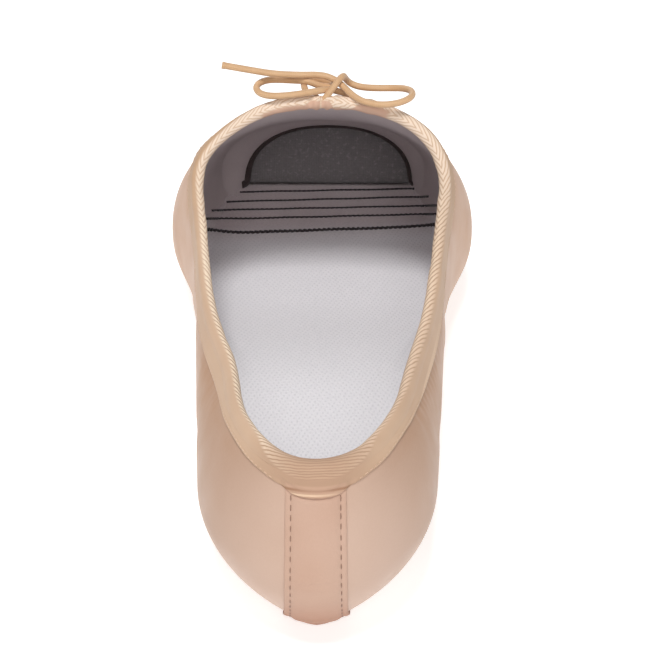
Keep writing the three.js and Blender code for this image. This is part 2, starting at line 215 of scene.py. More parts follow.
def vertex_normals(v, faces):
    n = np.zeros_like(v)
    quads = np.array([f if len(f) == 4 else (*f, f[-1]) for f in faces])
    fn = np.cross(v[quads[:, 2]] - v[quads[:, 0]], v[quads[:, 3]] - v[quads[:, 1]])
    tri = quads[:, 2] == quads[:, 3]
    fn[tri] = np.cross(v[quads[tri, 1]] - v[quads[tri, 0]], v[quads[tri, 2]] - v[quads[tri, 0]])
    for k in range(4):
        np.add.at(n, quads[:, k], fn)
    return n / (np.linalg.norm(n, axis=1)[:, None] + 1e-12)


def clip_faces(v, faces, field):
    """Keeps the part of a mesh where field <= 0. v may carry more columns than a place; they are interpolated too."""
    out = [row for row in v]
    new = {}
    kept = []
    for f in faces:
        s = [field[i] <= 0 for i in f]
        if all(s):
            kept.append(tuple(f))
            continue
        if not any(s):
            continue
        poly = []
        for k in range(len(f)):
            i, j = f[k], f[(k + 1) % len(f)]
            if s[k]:
                poly.append(i)
            if s[k] != s[(k + 1) % len(f)]:
                key = (min(i, j), max(i, j))
                if key not in new:
                    t = field[i] / (field[i] - field[j])
                    t = min(max(t, 0.02), 0.98)
                    new[key] = len(out)
                    out.append(v[i] + t * (v[j] - v[i]))
                poly.append(new[key])
        if len(poly) >= 3:
            kept.append(tuple(poly))
    out = np.array(out)
    used = np.unique(np.concatenate([np.array(f) for f in kept]))
    remap = np.full(len(out), -1)
    remap[used] = np.arange(len(used))
    return out[used], [tuple(remap[list(f)]) for f in kept]


def boundary_edges(faces):
    seen = {}
    for f in faces:
        for k in range(len(f)):
            i, j = f[k], f[(k + 1) % len(f)]
            if (j, i) in seen:
                del seen[(j, i)]
            else:
                seen[(i, j)] = True
    return list(seen)


def chains(edges):
    nxt = {}
    for i, j in edges:
        nxt.setdefault(i, []).append(j)
    out = []
    while nxt:
        start = next(iter(nxt))
        loop = [start]
        cur = start
        while True:
            if cur not in nxt:
                break
            to = nxt[cur].pop()
            if not nxt[cur]:
                del nxt[cur]
            if to == start:
                break
            loop.append(to)
            cur = to
        out.append(loop)
    return out


def resample(p, n, closed=False):
    p = np.asarray(p, float)
    q = np.vstack([p, p[:1]]) if closed else p
    s = np.concatenate([[0], np.cumsum(np.linalg.norm(np.diff(q, axis=0), axis=1))])
    t = np.linspace(0, s[-1], n, endpoint=not closed)
    return np.stack([np.interp(t, s, q[:, k]) for k in range(p.shape[1])], 1), s[-1]


def smooth_ring(p, sigma):
    """Gaussian smoothing of samples around a closed ring (axis 0)."""
    r = int(3 * sigma) + 1
    k = np.exp(-0.5 * (np.arange(-r, r + 1) / sigma) ** 2)
    k /= k.sum()
    out = np.zeros_like(p)
    for i, w in zip(range(-r, r + 1), k):
        out += w * np.roll(p, -i, axis=0)
    return out


def catmull(points, per=12):
    p = np.asarray(points, float)
    p = np.vstack([2 * p[0] - p[1], p, 2 * p[-1] - p[-2]])
    out = []
    for i in range(1, len(p) - 2):
        p0, p1, p2, p3 = p[i - 1], p[i], p[i + 1], p[i + 2]
        d1, d2, d3 = [max(np.linalg.norm(b - a), 1e-6) ** 0.5 for a, b in ((p0, p1), (p1, p2), (p2, p3))]
        t1, t2, t3 = d1, d1 + d2, d1 + d2 + d3
        for t in np.linspace(t1, t2, per, endpoint=False):
            a1 = (t1 - t) / t1 * p0 + t / t1 * p1
            a2 = (t2 - t) / (t2 - t1) * p1 + (t - t1) / (t2 - t1) * p2
            a3 = (t3 - t) / (t3 - t2) * p2 + (t - t2) / (t3 - t2) * p3
            b1 = (t2 - t) / t2 * a1 + t / t2 * a2
            b2 = (t3 - t) / (t3 - t1) * a2 + (t - t1) / (t3 - t1) * a3
            out.append((t2 - t) / (t2 - t1) * b1 + (t - t1) / (t2 - t1) * b2)
    out.append(p[-2])
    return np.array(out)


def tube(path, radius, sides=12, closed=False, caps=True, flat=1.0, up=None, radii=None):
    """Sweeps a round along a path; returns vertices, faces and uv (millimetres along, millimetres round)."""
    p = np.asarray(path, float)
    n = len(p)
    t = np.gradient(p, axis=0) if not closed else np.roll(p, -1, 0) - np.roll(p, 1, 0)
    t /= np.linalg.norm(t, axis=1)[:, None] + 1e-12
    a = np.zeros_like(p)
    first = np.array(up if up is not None else (0, 0, 1.0), float)
    if abs(first @ t[0]) > 0.95:
        first = np.array((1.0, 0, 0))
    a[0] = first - (first @ t[0]) * t[0]
    a[0] /= np.linalg.norm(a[0])
    for i in range(1, n):
        v = a[i - 1] if up is None else np.array(up, float)
        v = v - (v @ t[i]) * t[i]
        a[i] = v / (np.linalg.norm(v) + 1e-12)
    b = np.cross(t, a)
    ang = np.arange(sides) / sides * 2 * np.pi
    r = np.full(n, radius) if radii is None else np.asarray(radii)
    v = p[:, None, :] + r[:, None, None] * (np.cos(ang)[None, :, None] * a[:, None, :] * flat + np.sin(ang)[None, :, None] * b[:, None, :])
    v = v.reshape(-1, 3)
    s = np.concatenate([[0], np.cumsum(np.linalg.norm(np.diff(p, axis=0), axis=1))])
    uv = np.stack([np.repeat(s, sides), np.tile(ang * radius, n)], 1)
    f = []
    m = n if closed else n - 1
    for i in range(m):
        k = (i + 1) % n
        for j in range(sides):
            l = (j + 1) % sides
            f.append((i * sides + j, i * sides + l, k * sides + l, k * sides + j))
    if not closed and caps:
        f.append(tuple(range(sides))[::-1])
        f.append(tuple(range((n - 1) * sides, n * sides)))
    return v, f, uv


def joined(parts):
    vs, fs, us, k = [], [], [], 0
    for v, f, u in parts:
        vs.append(v)
        us.append(u)
        fs += [tuple(i + k for i in x) for x in f]
        k += len(v)
    return np.vstack(vs), fs, np.vstack(us)


def fix_out(ob):
    """Faces outwards on a closed mesh."""
    import bmesh

    bm = bmesh.new()
    bm.from_mesh(ob.data)
    bmesh.ops.recalc_face_normals(bm, faces=bm.faces)
    bm.to_mesh(ob.data)
    bm.free()
    return ob


# ---------------------------------------------------------------- materials
def srgb(r, g, b):
    def c(v):
        v /= 255.0
        return v / 12.92 if v <= 0.04045 else ((v + 0.055) / 1.055) ** 2.4

    return (c(r), c(g), c(b), 1.0)


class Nodes:
    def __init__(self, name):
        self.mat = bpy.data.materials.new(name)
        self.mat.use_nodes = True
        self.t = self.mat.node_tree
        self.t.nodes.clear()
        self.out = self.t.nodes.new("ShaderNodeOutputMaterial")
        self.bsdf = self.t.nodes.new("ShaderNodeBsdfPrincipled")
        self.link(self.bsdf.outputs[0], self.out.inputs[0])

    def link(self, a, b):
        self.t.links.new(a, b)

    def node(self, kind, **kw):
        n = self.t.nodes.new(kind)
        for k, v in kw.items():
            setattr(n, k, v)
        return n

    def set(self, **kw):
        for k, v in kw.items():
            self.bsdf.inputs[k.replace("_", " ")].default_value = v

    def coords(self, kind="Object", scale=(1, 1, 1)):
        c = self.node("ShaderNodeTexCoord")
        m = self.node("ShaderNodeMapping")
        m.inputs["Scale"].default_value = scale
        self.link(c.outputs[kind], m.inputs["Vector"])
        return m.outputs[0]

    def noise(self, vec, scale, detail=3.0, rough=0.5, distortion=0.0):
        n = self.node("ShaderNodeTexNoise")
        n.inputs["Scale"].default_value = scale
        n.inputs["Detail"].default_value = detail
        n.inputs["Roughness"].default_value = rough
        n.inputs["Distortion"].default_value = distortion
        self.link(vec, n.inputs["Vector"])
        return n.outputs[0]

    def math(self, op, a, b=None, c=None, clamp=False):
        n = self.node("ShaderNodeMath", operation=op, use_clamp=clamp)
        for k, v in enumerate((a, b, c)):
            if v is None:
                continue
            if isinstance(v, (int, float)):
                n.inputs[k].default_value = v
            else:
                self.link(v, n.inputs[k])
        return n.outputs[0]

    def ramp(self, fac, stops):
        n = self.node("ShaderNodeValToRGB")
        e = n.color_ramp.elements
        while len(e) < len(stops):
            e.new(0.5)
        for k, (p, c) in enumerate(stops):
            e[k].position = p
            e[k].color = c
        self.link(fac, n.inputs[0])
        return n.outputs[0]

    def mix(self, fac, a, b, mode="MIX"):
        n = self.node("ShaderNodeMix", data_type="RGBA", blend_type=mode)
        for sock, v in ((n.inputs[0], fac), (n.inputs[6], a), (n.inputs[7], b)):
            if isinstance(v, (int, float)):
                sock.default_value = v
            elif isinstance(v, tuple):
                sock.default_value = v
            else:
                self.link(v, sock)
        return n.outputs[2]

    def smooth(self, value, lo, hi):
        """Smooth rise from 0 at lo to 1 at hi."""
        n = self.node("ShaderNodeMapRange")
        n.interpolation_type = "SMOOTHSTEP"
        self.link(value, n.inputs[0])
        n.inputs[1].default_value, n.inputs[2].default_value = lo, hi
        n.inputs[3].default_value, n.inputs[4].default_value = 0.0, 1.0
        return n.outputs[0]

    def maprange(self, v, a, b, c, d, smooth=False):
        n = self.node("ShaderNodeMapRange")
        if smooth:
            n.interpolation_type = "SMOOTHSTEP"
        self.link(v, n.inputs[0])
        for k, x in enumerate((a, b, c, d)):
            n.inputs[k + 1].default_value = x
        return n.outputs[0]

    def xyz(self, vec):
        n = self.node("ShaderNodeSeparateXYZ")
        self.link(vec, n.inputs[0])
        return n.outputs

    def bump(self, height, strength, distance, under=None):
        n = self.node("ShaderNodeBump")
        n.inputs["Strength"].default_value = strength
        n.inputs["Distance"].default_value = distance
        self.link(height, n.inputs["Height"])
        if under is not None:
            self.link(under, n.inputs["Normal"])
        self.link(n.outputs[0], self.bsdf.inputs["Normal"])
        return n.outputs[0]

    def color(self, c):
        if isinstance(c, tuple):
            self.bsdf.inputs["Base Color"].default_value = c
        else:
            self.link(c, self.bsdf.inputs["Base Color"])


def satin_material(name, base, dark, light, roughness=0.42, grain=0.12, gloss=0.18, side=(0.81, 0.62, 0.42), fore=(1.05, 0.89, 0.71), low=(1, 1, 1)):
    m = Nodes(name)
    v = m.coords("Object")
    big = m.noise(v, 34.0, 2.0, 0.5)
    fine = m.noise(m.coords("Object", (1, 0.3, 1)), 2600.0, 2.0, 0.6)
    col = m.ramp(big, [(0.3, dark), (0.5, base), (0.72, light)])
    # painted shade: deeper and warmer in tone up the sides of the quarters towards the tape, where they face away from
    # the light
    x, y, z = m.xyz(v)
    mid = m.math("MULTIPLY", m.smooth(y, -0.126, -0.064), m.smooth(y, 0.040, -0.030))
    up = m.maprange(z, 0.005, 0.044, 0.6, 1.0, True)
    col = m.mix(m.math("MULTIPLY", mid, up), col, tuple(k * f for k, f in zip(base[:3], side)) + (1,))
    # painted shade: warmer and more saturated over the ball, where its sides face away from the light
    painted_ball_shade = m.math("MULTIPLY", m.smooth(y, -0.060, 0.030), m.math("MULTIPLY_ADD", m.smooth(y, 0.050, 0.105), -0.3, 1.0))
    col = m.mix(painted_ball_shade, col, tuple(k * f for k, f in zip(base[:3], fore)) + (1,))
    foot = m.maprange(z, 0.005, 0.019, 1, 0, True)
    col = m.mix(foot, col, tuple(k * f for k, f in zip(base[:3], low)) + (1,))
    col = m.mix(0.06, col, m.ramp(fine, [(0.3, (0.55, 0.5, 0.46, 1)), (0.7, (1, 1, 1, 1))]), "MULTIPLY")
    m.color(col)
    soft = m.noise(v, 90.0, 2.0, 0.5)
    b1 = m.bump(soft, 0.04, 0.002)
    m.bump(fine, grain, 0.0002, b1)
    r = m.maprange(m.noise(v, 120.0, 2.0), 0.3, 0.7, roughness - 0.05, roughness + 0.06)
    m.link(r, m.bsdf.inputs["Roughness"])
    m.set(Sheen_Weight=0.05, Sheen_Roughness=0.4, Specular_IOR_Level=gloss)
    m.bsdf.inputs["Sheen Tint"].default_value = (1.0, 0.85, 0.75, 1)
    return m.mat


SATIN = satin_material("satin", srgb(197, 169, 152), srgb(193, 164, 146), srgb(200, 173, 157))
STRIP = satin_material("strip_fabric", srgb(192, 159, 140), srgb(187, 152, 132), srgb(196, 164, 146), 0.62, 0.3, 0.3, side=(0.93, 0.88, 0.83), fore=(1, 1, 1), low=(0.72, 0.56, 0.48))


def lining_material():
    m = Nodes("lining")
    v = m.coords("Object")
    x, y, z = m.xyz(v)
    # painted shade: the lining turns grey towards the front and up into the toe box, the same white cloth in the shadow
    # of the box
    f = m.maprange(m.math("MULTIPLY_ADD", z, 0.9, y), 0.052, 0.072, 0, 1, True)
    painted_box_shade = m.ramp(m.noise(v, 40.0, 2.0), [(0.3, srgb(186, 173, 174)), (0.7, srgb(194, 181, 182))])
    cotton = m.ramp(m.noise(v, 60.0, 2.0), [(0.3, srgb(229, 225, 226)), (0.7, srgb(234, 230, 231))])
    fine = m.noise(v, 2200.0, 2.0, 0.6)
    col = m.mix(f, cotton, painted_box_shade)
    m.color(m.mix(0.15, col, m.ramp(fine, [(0.3, (0.6, 0.6, 0.6, 1)), (0.7, (1, 1, 1, 1))]), "MULTIPLY"))
    m.bump(fine, 0.15, 0.0003)
    m.set(Roughness=0.85, Sheen_Weight=0.05)
    return m.mat


LINING = lining_material()


def binding_material(length, front_half):
    """Herringbone tape. u runs down the outside from the top of the roll, s along the collar from the heel."""
    m = Nodes("binding_tape")
    c = m.node("ShaderNodeTexCoord")
    s, u, _ = m.xyz(c.outputs["UV"])
    v = m.coords("Object")
    k = 2 * math.pi
    way = m.math("SQRT", m.math("MULTIPLY_ADD", s, s, 49.0))
    ahead = m.maprange(m.math("ABSOLUTE", s), 92.0, 150.0, 0, 1, True)
    behind = m.maprange(m.math("ABSOLUTE", s), 2.0, 21.0, 1, 0, True)
    whole = m.math("MAXIMUM", ahead, behind)
    across = m.math("ABSOLUTE", m.math("ADD", u, m.math("MULTIPLY_ADD", whole, -1.7, 1.7)))
    slant = m.math("MULTIPLY_ADD", whole, 0.37, 0.63)
    near = m.maprange(m.math("ABSOLUTE", s), 2.0, 21.0, 1, 0, True)
    crumple = m.maprange(m.math("ABSOLUTE", s), length / 2 - front_half - 6.0, length / 2 - front_half + 6.0, 0.9, 2.6, True)
    warp = m.math("MULTIPLY", m.noise(v, 300.0, 3.0), crumple)
    ph = m.math("ADD", m.math("SUBTRACT", m.math("DIVIDE", way, 2.45), m.math("MULTIPLY", across, m.math("MULTIPLY_ADD", near, 0.5, slant))), warp)
    rib = m.math("MULTIPLY_ADD", m.math("SINE", m.math("MULTIPLY", ph, k)), 0.5, 0.5)
    rib = m.maprange(rib, 0.06, 0.5, 0, 1, True)
    # fine threads across the ribs
    ph2 = m.math("ADD", m.math("DIVIDE", way, 0.62), m.math("DIVIDE", across, 1.4))
    thread = m.math("MULTIPLY_ADD", m.math("SINE", m.math("MULTIPLY", ph2, k)), 0.5, 0.5)
    # the roll shows its ribs, the flat band hardly; round the heel they reach further down
    dist = m.math("ABSOLUTE", s)
    heel = m.maprange(dist, 2.0, 22.0, 1, 0, True)
    right = m.maprange(s, -1.0, 1.0, 0, 1)
    wide = m.math("MULTIPLY", m.maprange(dist, 32.0, 62.0, 0, 0.9, True), m.maprange(dist, 70.0, 98.0, 1, 0, True))
    lane = m.math("MULTIPLY", right, m.math("ADD", wide, m.maprange(dist, 100.0, 150.0, 1.2, 2.3, True)))
    lane = m.math("MULTIPLY_ADD", m.math("SUBTRACT", 1.0, right), m.math("ADD", m.maprange(dist, 130.0, 176.0, 0.45, 2.0, True), m.maprange(dist, 60.0, 95.0, 0.5, 0, True)), lane)
    lower = m.math("MULTIPLY_ADD", heel, m.math("SUBTRACT", 5.6, lane), lane)
    roll = m.math("SUBTRACT", 1.0, m.maprange(m.math("SUBTRACT", u, lower), -0.4, 0.6, 0, 1, True))
    # in the middle of the throat the fold is plain cloth on its inner side, but for a crumpled bit right of the bow
    fr = m.maprange(dist, length / 2 - front_half - 1.0, length / 2 - front_half + 1.0, 0, 1, True)
    bit = m.math("MULTIPLY", m.maprange(s, length / 2 - 11.0, length / 2 - 8.0, 0, 1, True), m.maprange(s, length / 2 - 3.5, length / 2 - 2.0, 1, 0, True))
    rough_edge = m.math("MULTIPLY_ADD", m.noise(v, 500.0, 2.0), 1.2, m.math("MULTIPLY", bit, -2.2))
    rough_edge = m.math("MULTIPLY_ADD", m.math("MULTIPLY", m.math("SUBTRACT", 1.0, right), m.maprange(dist, length / 2 - 5.0, length / 2 - 3.0, 1, 0, True)), -1.1, rough_edge)
    plain = m.math("MULTIPLY", fr, m.maprange(m.math("SUBTRACT", u, rough_edge), -0.5, 0.3, 1, 0, True))
    roll = m.math("MULTIPLY", roll, m.math("SUBTRACT", 1.0, plain))
    roll = m.math("MULTIPLY", roll, m.math("MULTIPLY_ADD", heel, -0.6, 1.0))
    vary = m.noise(v, 70.0, 2.0)
    base = m.ramp(vary, [(0.3, srgb(205, 173, 146)), (0.7, srgb(211, 180, 153))])
    base = m.mix(m.maprange(dist, 120.0, 150.0, 0, 1, True), base, srgb(197, 163, 133))
    base = m.mix(heel, base, srgb(175, 143, 120))
    # the fold over the top of the back strip
    lip = m.math("MULTIPLY", m.maprange(dist, 5.4, 6.6, 1, 0, True), m.maprange(u, 7.0, 7.6, 0, 1, True))
    base = m.mix(lip, base, srgb(186, 152, 130))
    # painted shade along the crease above the lip, stronger towards its ends
    painted_crease_shade = m.math("MULTIPLY", m.math("MULTIPLY", m.maprange(u, 8.0, 8.45, 0, 1, True), m.maprange(u, 8.6, 9.05, 1, 0, True)), m.math("MULTIPLY", m.maprange(dist, 1.0, 5.0, 0.3, 0.9, True), m.maprange(dist, 6.4, 7.4, 1, 0, True)))
    base = m.mix(painted_crease_shade, base, srgb(152, 116, 92))
    # painted highlight along the lower edge of the lip
    painted_lip_highlight = m.math("MULTIPLY", m.math("MULTIPLY", m.maprange(u, 9.2, 9.5, 0, 1, True), m.maprange(u, 9.7, 9.95, 1, 0, True)), m.math("MULTIPLY", m.maprange(s, -5.6, -3.4, 0, 0.75, True), m.maprange(s, -1.0, 5.0, 1, 0.25, True)))
    base = m.mix(painted_lip_highlight, base, srgb(230, 200, 170))
    base = m.mix(plain, base, srgb(210, 173, 151))
    # painted highlight along the sewn lower edge on the right, which stands a little proud
    painted_rim_highlight = m.math("MULTIPLY", m.maprange(u, 6.8, 7.3, 0, 1, True), m.math("MULTIPLY", right, m.math("MULTIPLY", m.maprange(dist, 26.0, 36.0, 0, 1, True), m.maprange(dist, 70.0, 95.0, 1, 0, True))))
    base = m.mix(painted_rim_highlight, base, srgb(222, 192, 164))
    # the ribs are painted: highlights on their tops and painted shade in their grooves, with the highlights painted
    # brighter on the left side of the tape
    front = m.maprange(dist, 110.0, 165.0, 0, 1, True)
    light = m.mix(front, m.mix(m.maprange(u, -0.5, 1.6, 0, 1, True), srgb(244, 220, 194), srgb(228, 200, 176)), srgb(243, 224, 206))
    light = m.mix(m.math("MULTIPLY", m.math("SUBTRACT", 1.0, right), m.math("SUBTRACT", 1.0, front)), light, srgb(255, 236, 212))
    deep = m.mix(front, srgb(190, 157, 130), srgb(216, 187, 160))
    deep = m.mix(m.math("MULTIPLY", m.math("SUBTRACT", 1.0, right), m.maprange(dist, 78.0, 105.0, 0, 1, True)), deep, srgb(219, 190, 163))
    shade = m.mix(rib, m.mix(heel, deep, srgb(160, 128, 104)), m.mix(heel, light, srgb(206, 174, 148)))
    cloth = m.mix(m.math("MULTIPLY", roll, 0.85), base, shade)
    # inside of the fold, in the shade of the waist
    inner = m.math("MULTIPLY", m.math("MULTIPLY", right, m.maprange(u, -0.7, -1.5, 0, 0.75, True)), m.math("MULTIPLY", m.maprange(dist, 34.0, 52.0, 0, 1, True), m.maprange(dist, 66.0, 86.0, 1, 0, True)))
    m.color(m.mix(inner, cloth, srgb(150, 128, 114)))
    h = m.math("ADD", m.math("MULTIPLY", rib, roll), m.math("MULTIPLY", thread, 0.10))
    m.bump(h, 0.3, 0.0003)
    m.set(Roughness=0.50, Sheen_Weight=0.02, Specular_IOR_Level=0.06)
    return m.mat


def insole_material():
    m = Nodes("insole_fabric")
    v = m.coords("Object")
    x, y, z = m.xyz(v)
    # painted shade: the sock turns greyer beyond the last sewn line, in the shadow under the vamp
    edge = m.math("SUBTRACT", y, m.math("MULTIPLY", x, 0.085))
    painted_box_shade = m.maprange(edge, 0.062, 0.080, 0, 1, True)
    # small pits in staggered rows
    k = 2 * math.pi
    px = m.math("ADD", m.math("MULTIPLY", x, 0.99), m.math("MULTIPLY", y, 0.14))
    py = m.math("SUBTRACT", m.math("MULTIPLY", y, 0.99), m.math("MULTIPLY", x, 0.14))
    wob = m.math("MULTIPLY", m.noise(v, 420.0, 2.0), 2.4)
    a = m.math("COSINE", m.math("ADD", m.math("MULTIPLY", px, k / 0.00141), wob))
    b = m.math("COSINE", m.math("ADD", m.math("MULTIPLY", py, k / 0.0024), wob))
    pits = m.maprange(m.math("MULTIPLY", a, b), 0.2, 0.95, 0, 1, True)
    fine = m.noise(v, 1800.0, 2.0, 0.6)
    white = m.mix(m.math("MULTIPLY", pits, 0.40), srgb(230, 228, 231), srgb(196, 194, 199))
    white = m.mix(0.2, white, m.ramp(fine, [(0.35, srgb(205, 203, 208)), (0.65, srgb(240, 238, 241))]))
    dark = m.ramp(fine, [(0.3, srgb(188, 175, 177)), (0.7, srgb(200, 187, 189))])
    m.color(m.mix(painted_box_shade, white, dark))
    h = m.math("SUBTRACT", m.math("MULTIPLY", fine, 0.4), m.math("MULTIPLY", pits, 0.8))
    m.bump(h, 0.35, 0.0003)
    m.set(Roughness=0.9, Sheen_Weight=0.15)
    return m.mat


INSOLE = insole_material()


def plain_cloth(name, c0, c1, rough=0.85, scale=1500.0, bump=0.35, weave=0.0):
    m = Nodes(name)
    v = m.coords("Object")
    fine = m.noise(v, scale, 2.0, 0.6)
    col = m.ramp(fine, [(0.3, c0), (0.7, c1)])
    h = fine
    if weave:
        x, y, z = m.xyz(v)
        a = m.math("SINE", m.math("MULTIPLY", m.math("ADD", x, z), 2 * math.pi / weave))
        b = m.math("SINE", m.math("MULTIPLY", m.math("SUBTRACT", x, z), 2 * math.pi / weave))
        w = m.math("MULTIPLY_ADD", m.math("MULTIPLY", a, b), 0.5, 0.5)
        speck = m.maprange(m.noise(v, 900.0, 1.0), 0.56, 0.72, 0, 1, True)
        col = m.mix(m.math("MULTIPLY", w, 0.25), col, tuple(min(1, k * 1.5) for k in c1[:3]) + (1,))
        col = m.mix(m.math("MULTIPLY", speck, 0.35), col, tuple(min(1, k * 1.9) for k in c1[:3]) + (1,))
        h = m.math("ADD", fine, w)
    m.color(col)
    m.bump(h, bump, 0.0003)
    m.set(Roughness=rough, Sheen_Weight=0.2)
    return m.mat


PAD = plain_cloth("pad_fabric", srgb(101, 96, 97), srgb(113, 108, 109), 0.88, 1600.0, 0.3, 0.0011)
PIPING = plain_cloth("piping_cord", srgb(46, 34, 33), srgb(58, 45, 44), 0.85, 2000.0)
BLACK = plain_cloth("black_cord", srgb(34, 27, 29), srgb(46, 38, 40), 0.8, 2000.0)
THREAD_BROWN = plain_cloth("thread_brown", srgb(132, 100, 82), srgb(148, 116, 97), 0.7, 3000.0)
THREAD_PEACH = plain_cloth("thread_peach", srgb(204, 170, 142), srgb(216, 184, 156), 0.6, 3000.0)


def cord_material():
    m = Nodes("cord")
    c = m.node("ShaderNodeTexCoord")
    s, a, _ = m.xyz(c.outputs["UV"])
    k = 2 * math.pi
    p = m.math("SINE", m.math("MULTIPLY", m.math("ADD", m.math("DIVIDE", s, 1.0), a), k))
    q = m.math("SINE", m.math("MULTIPLY", m.math("SUBTRACT", m.math("DIVIDE", s, 1.0), a), k))
    br = m.math("MULTIPLY_ADD", m.math("MULTIPLY", p, q), 0.5, 0.5)
    v = m.coords("Object")
    base = m.ramp(m.noise(v, 200.0, 2.0), [(0.3, srgb(201, 158, 114)), (0.7, srgb(210, 170, 128))])
    m.color(m.mix(m.math("MULTIPLY", br, 0.25), base, srgb(222, 190, 155)))
    m.bump(br, 0.2, 0.00015)
    m.set(Roughness=0.58, Sheen_Weight=0.3)
    return m.mat


CORD = cord_material()


def leather_material():
    m = Nodes("sole_leather")
    v = m.coords("Object")
    blot = m.noise(v, 40.0, 4.0, 0.6)
    fine = m.noise(v, 1300.0, 3.0, 0.65)
    col = m.ramp(blot, [(0.25, srgb(176, 138, 104)), (0.5, srgb(192, 155, 121)), (0.8, srgb(204, 170, 138))])
    m.color(m.mix(0.3, col, m.ramp(fine, [(0.3, srgb(140, 106, 78)), (0.7, srgb(214, 184, 154))])))
    b = m.bump(blot, 0.12, 0.001)
    m.bump(fine, 0.4, 0.0003, b)
    m.set(Roughness=0.82, Sheen_Weight=0.15)
    return m.mat


LEATHER = leather_material()


# ---------------------------------------------------------------- the closed last as a fine grid
def stations(nh, nb, nt):
    h = -LENGTH / 2 + HEEL_CLOSING * (1 - np.cos(np.linspace(0, np.pi / 2, nh, endpoint=False)))
    b = np.linspace(-LENGTH / 2 + HEEL_CLOSING, LENGTH / 2 - TOE_CLOSING, nb, endpoint=False)
    t = LENGTH / 2 - TOE_CLOSING + TOE_CLOSING * np.sin(np.linspace(0, np.pi / 2, nt)) ** 0.7
    return np.concatenate([h, b, t])


def last_grid(nh, nb, nt, levels):
    q = stations(nh, nb, nt)
    half = []
    for part, count in levels:
        for j in range(count + (1 if part == 2 else 0)):
            half.append(last_point(q, part, j / count))
    half = np.stack(half, 1)
    left = half[:, 1:-1][:, ::-1] * np.array([-1, 1, 1])
    ring = np.concatenate([half, left], 1)
    n, r = ring.shape[:2]
    last_i = n - 1

    def idx(i, j):
        j %= r
        if i == 0:
            j = min(j, (r - j) % r)
        if i == last_i:
            j = 0
        return i * r + j

    faces = []
    for i in range(n - 1):
        for j in range(r):
            f = (idx(i, j), idx(i + 1, j), idx(i + 1, j + 1), idx(i, j + 1))
            g = []
            for k in f:
                if k not in g:
                    g.append(k)
            if len(g) >= 3:
                faces.append(tuple(g))
    v = ring.reshape(-1, 3)
    used = np.unique(np.concatenate([np.array(f) for f in faces]))
    remap = np.full(len(v), -1)
    remap[used] = np.arange(len(used))
    return v[used], [tuple(remap[list(f)]) for f in faces]


LV, LF = last_grid(34, 236, 24, [(0, 5), (1, 24), (2, 38)])
LN = vertex_normals(LV, LF)
BVH = BVHTree.FromPolygons([Vector(p) for p in LV], LF)


def surface(p):
    """Nearest point of the last with a smooth outward normal."""
    loc, n, i, d = BVH.find_nearest(Vector(p))
    f = LF[i]
    w = 1.0 / (np.linalg.norm(LV[list(f)] - np.array(loc), axis=1) + 1e-3)
    m = (LN[list(f)] * w[:, None]).sum(0)
    return np.array(loc), m / np.linalg.norm(m)


# ---------------------------------------------------------------- upper: satin outside, lining inside
PULLS = [
    # side, (y, z) from, (y, z) to, half-width, height: soft troughs and ridges in the satin
    (1, (-16, 38), (4, 11), 4.2, -0.34), (1, (-25, 36), (-12, 14), 3.8, 0.24), (1, (-70, 37), (-56, 15), 5.0, -0.26),
    (-1, (-20, 37), (-2, 11), 4.2, -0.32), (-1, (-8, 40), (9, 13), 4.4, 0.24), (-1, (-68, 37), (-57, 16), 5.0, -0.26),
    (1, (30, 56), (60, 42), 4.2, -0.26), (1, (38, 60), (72, 47), 4.6, 0.20),
    (-1, (28, 53), (58, 40), 4.2, -0.26), (-1, (40, 58), (70, 45), 4.6, 0.20),
]


def satin_relief(v):
    """How far the cloth lies off the last: puckered and hollowed below the tape, and pulled in a few soft folds."""
    d = np.zeros(len(v))
    edge, _ = band_at(BAND)
    down = band_at(BAND + 1.0)[0] - band_at(BAND - 1.0)[0]
    down /= np.linalg.norm(down, axis=1)[:, None]
    tree = KDTree(NS)
    for i, q in enumerate(edge):
        tree.insert(Vector(q), i)
    tree.balance()
    near = [tree.find(Vector(q)) for q in v]
    i = np.array([k[1] for k in near])
    far = np.array([k[2] for k in near])
    e = ((v - edge[i]) * down[i]).sum(1)
    live = ease((S_ABS[i] - 12) / 10) * (far < 16) * ease((e + 2.5) / 1.5)
    size = 0.15 + 0.85 * ease(0.45 + 0.7 * ring_noise(11, 31))
    wave = np.sin(2 * np.pi * S_ALONG / 3.4 + 1.5 * ring_noise(6, 32))
    amp = np.where(S_SIGNED > 0, 0.10, 0.05) * size * wave
    d += live * amp[i] * np.exp(-((np.maximum(e, 0) / 3.0) ** 1.5))
    d -= live * 0.16 * np.exp(-(((e - 1.1) / 1.1) ** 2))
    for side, a, b, wide, high in PULLS:
        a, b = np.array(a, float), np.array(b, float)
        t = ((v[:, 1:] - a) @ (b - a)) / ((b - a) @ (b - a))
        off = np.linalg.norm(v[:, 1:] - a - np.clip(t, 0, 1)[:, None] * (b - a), axis=1)
        run = np.sin(np.pi * np.clip(0.06 + 0.88 * t, 0, 1)) ** 0.8
        d += high * run * np.exp(-((off / wide) ** 2)) * ease((side * v[:, 0] - 4) / 8)
    return d


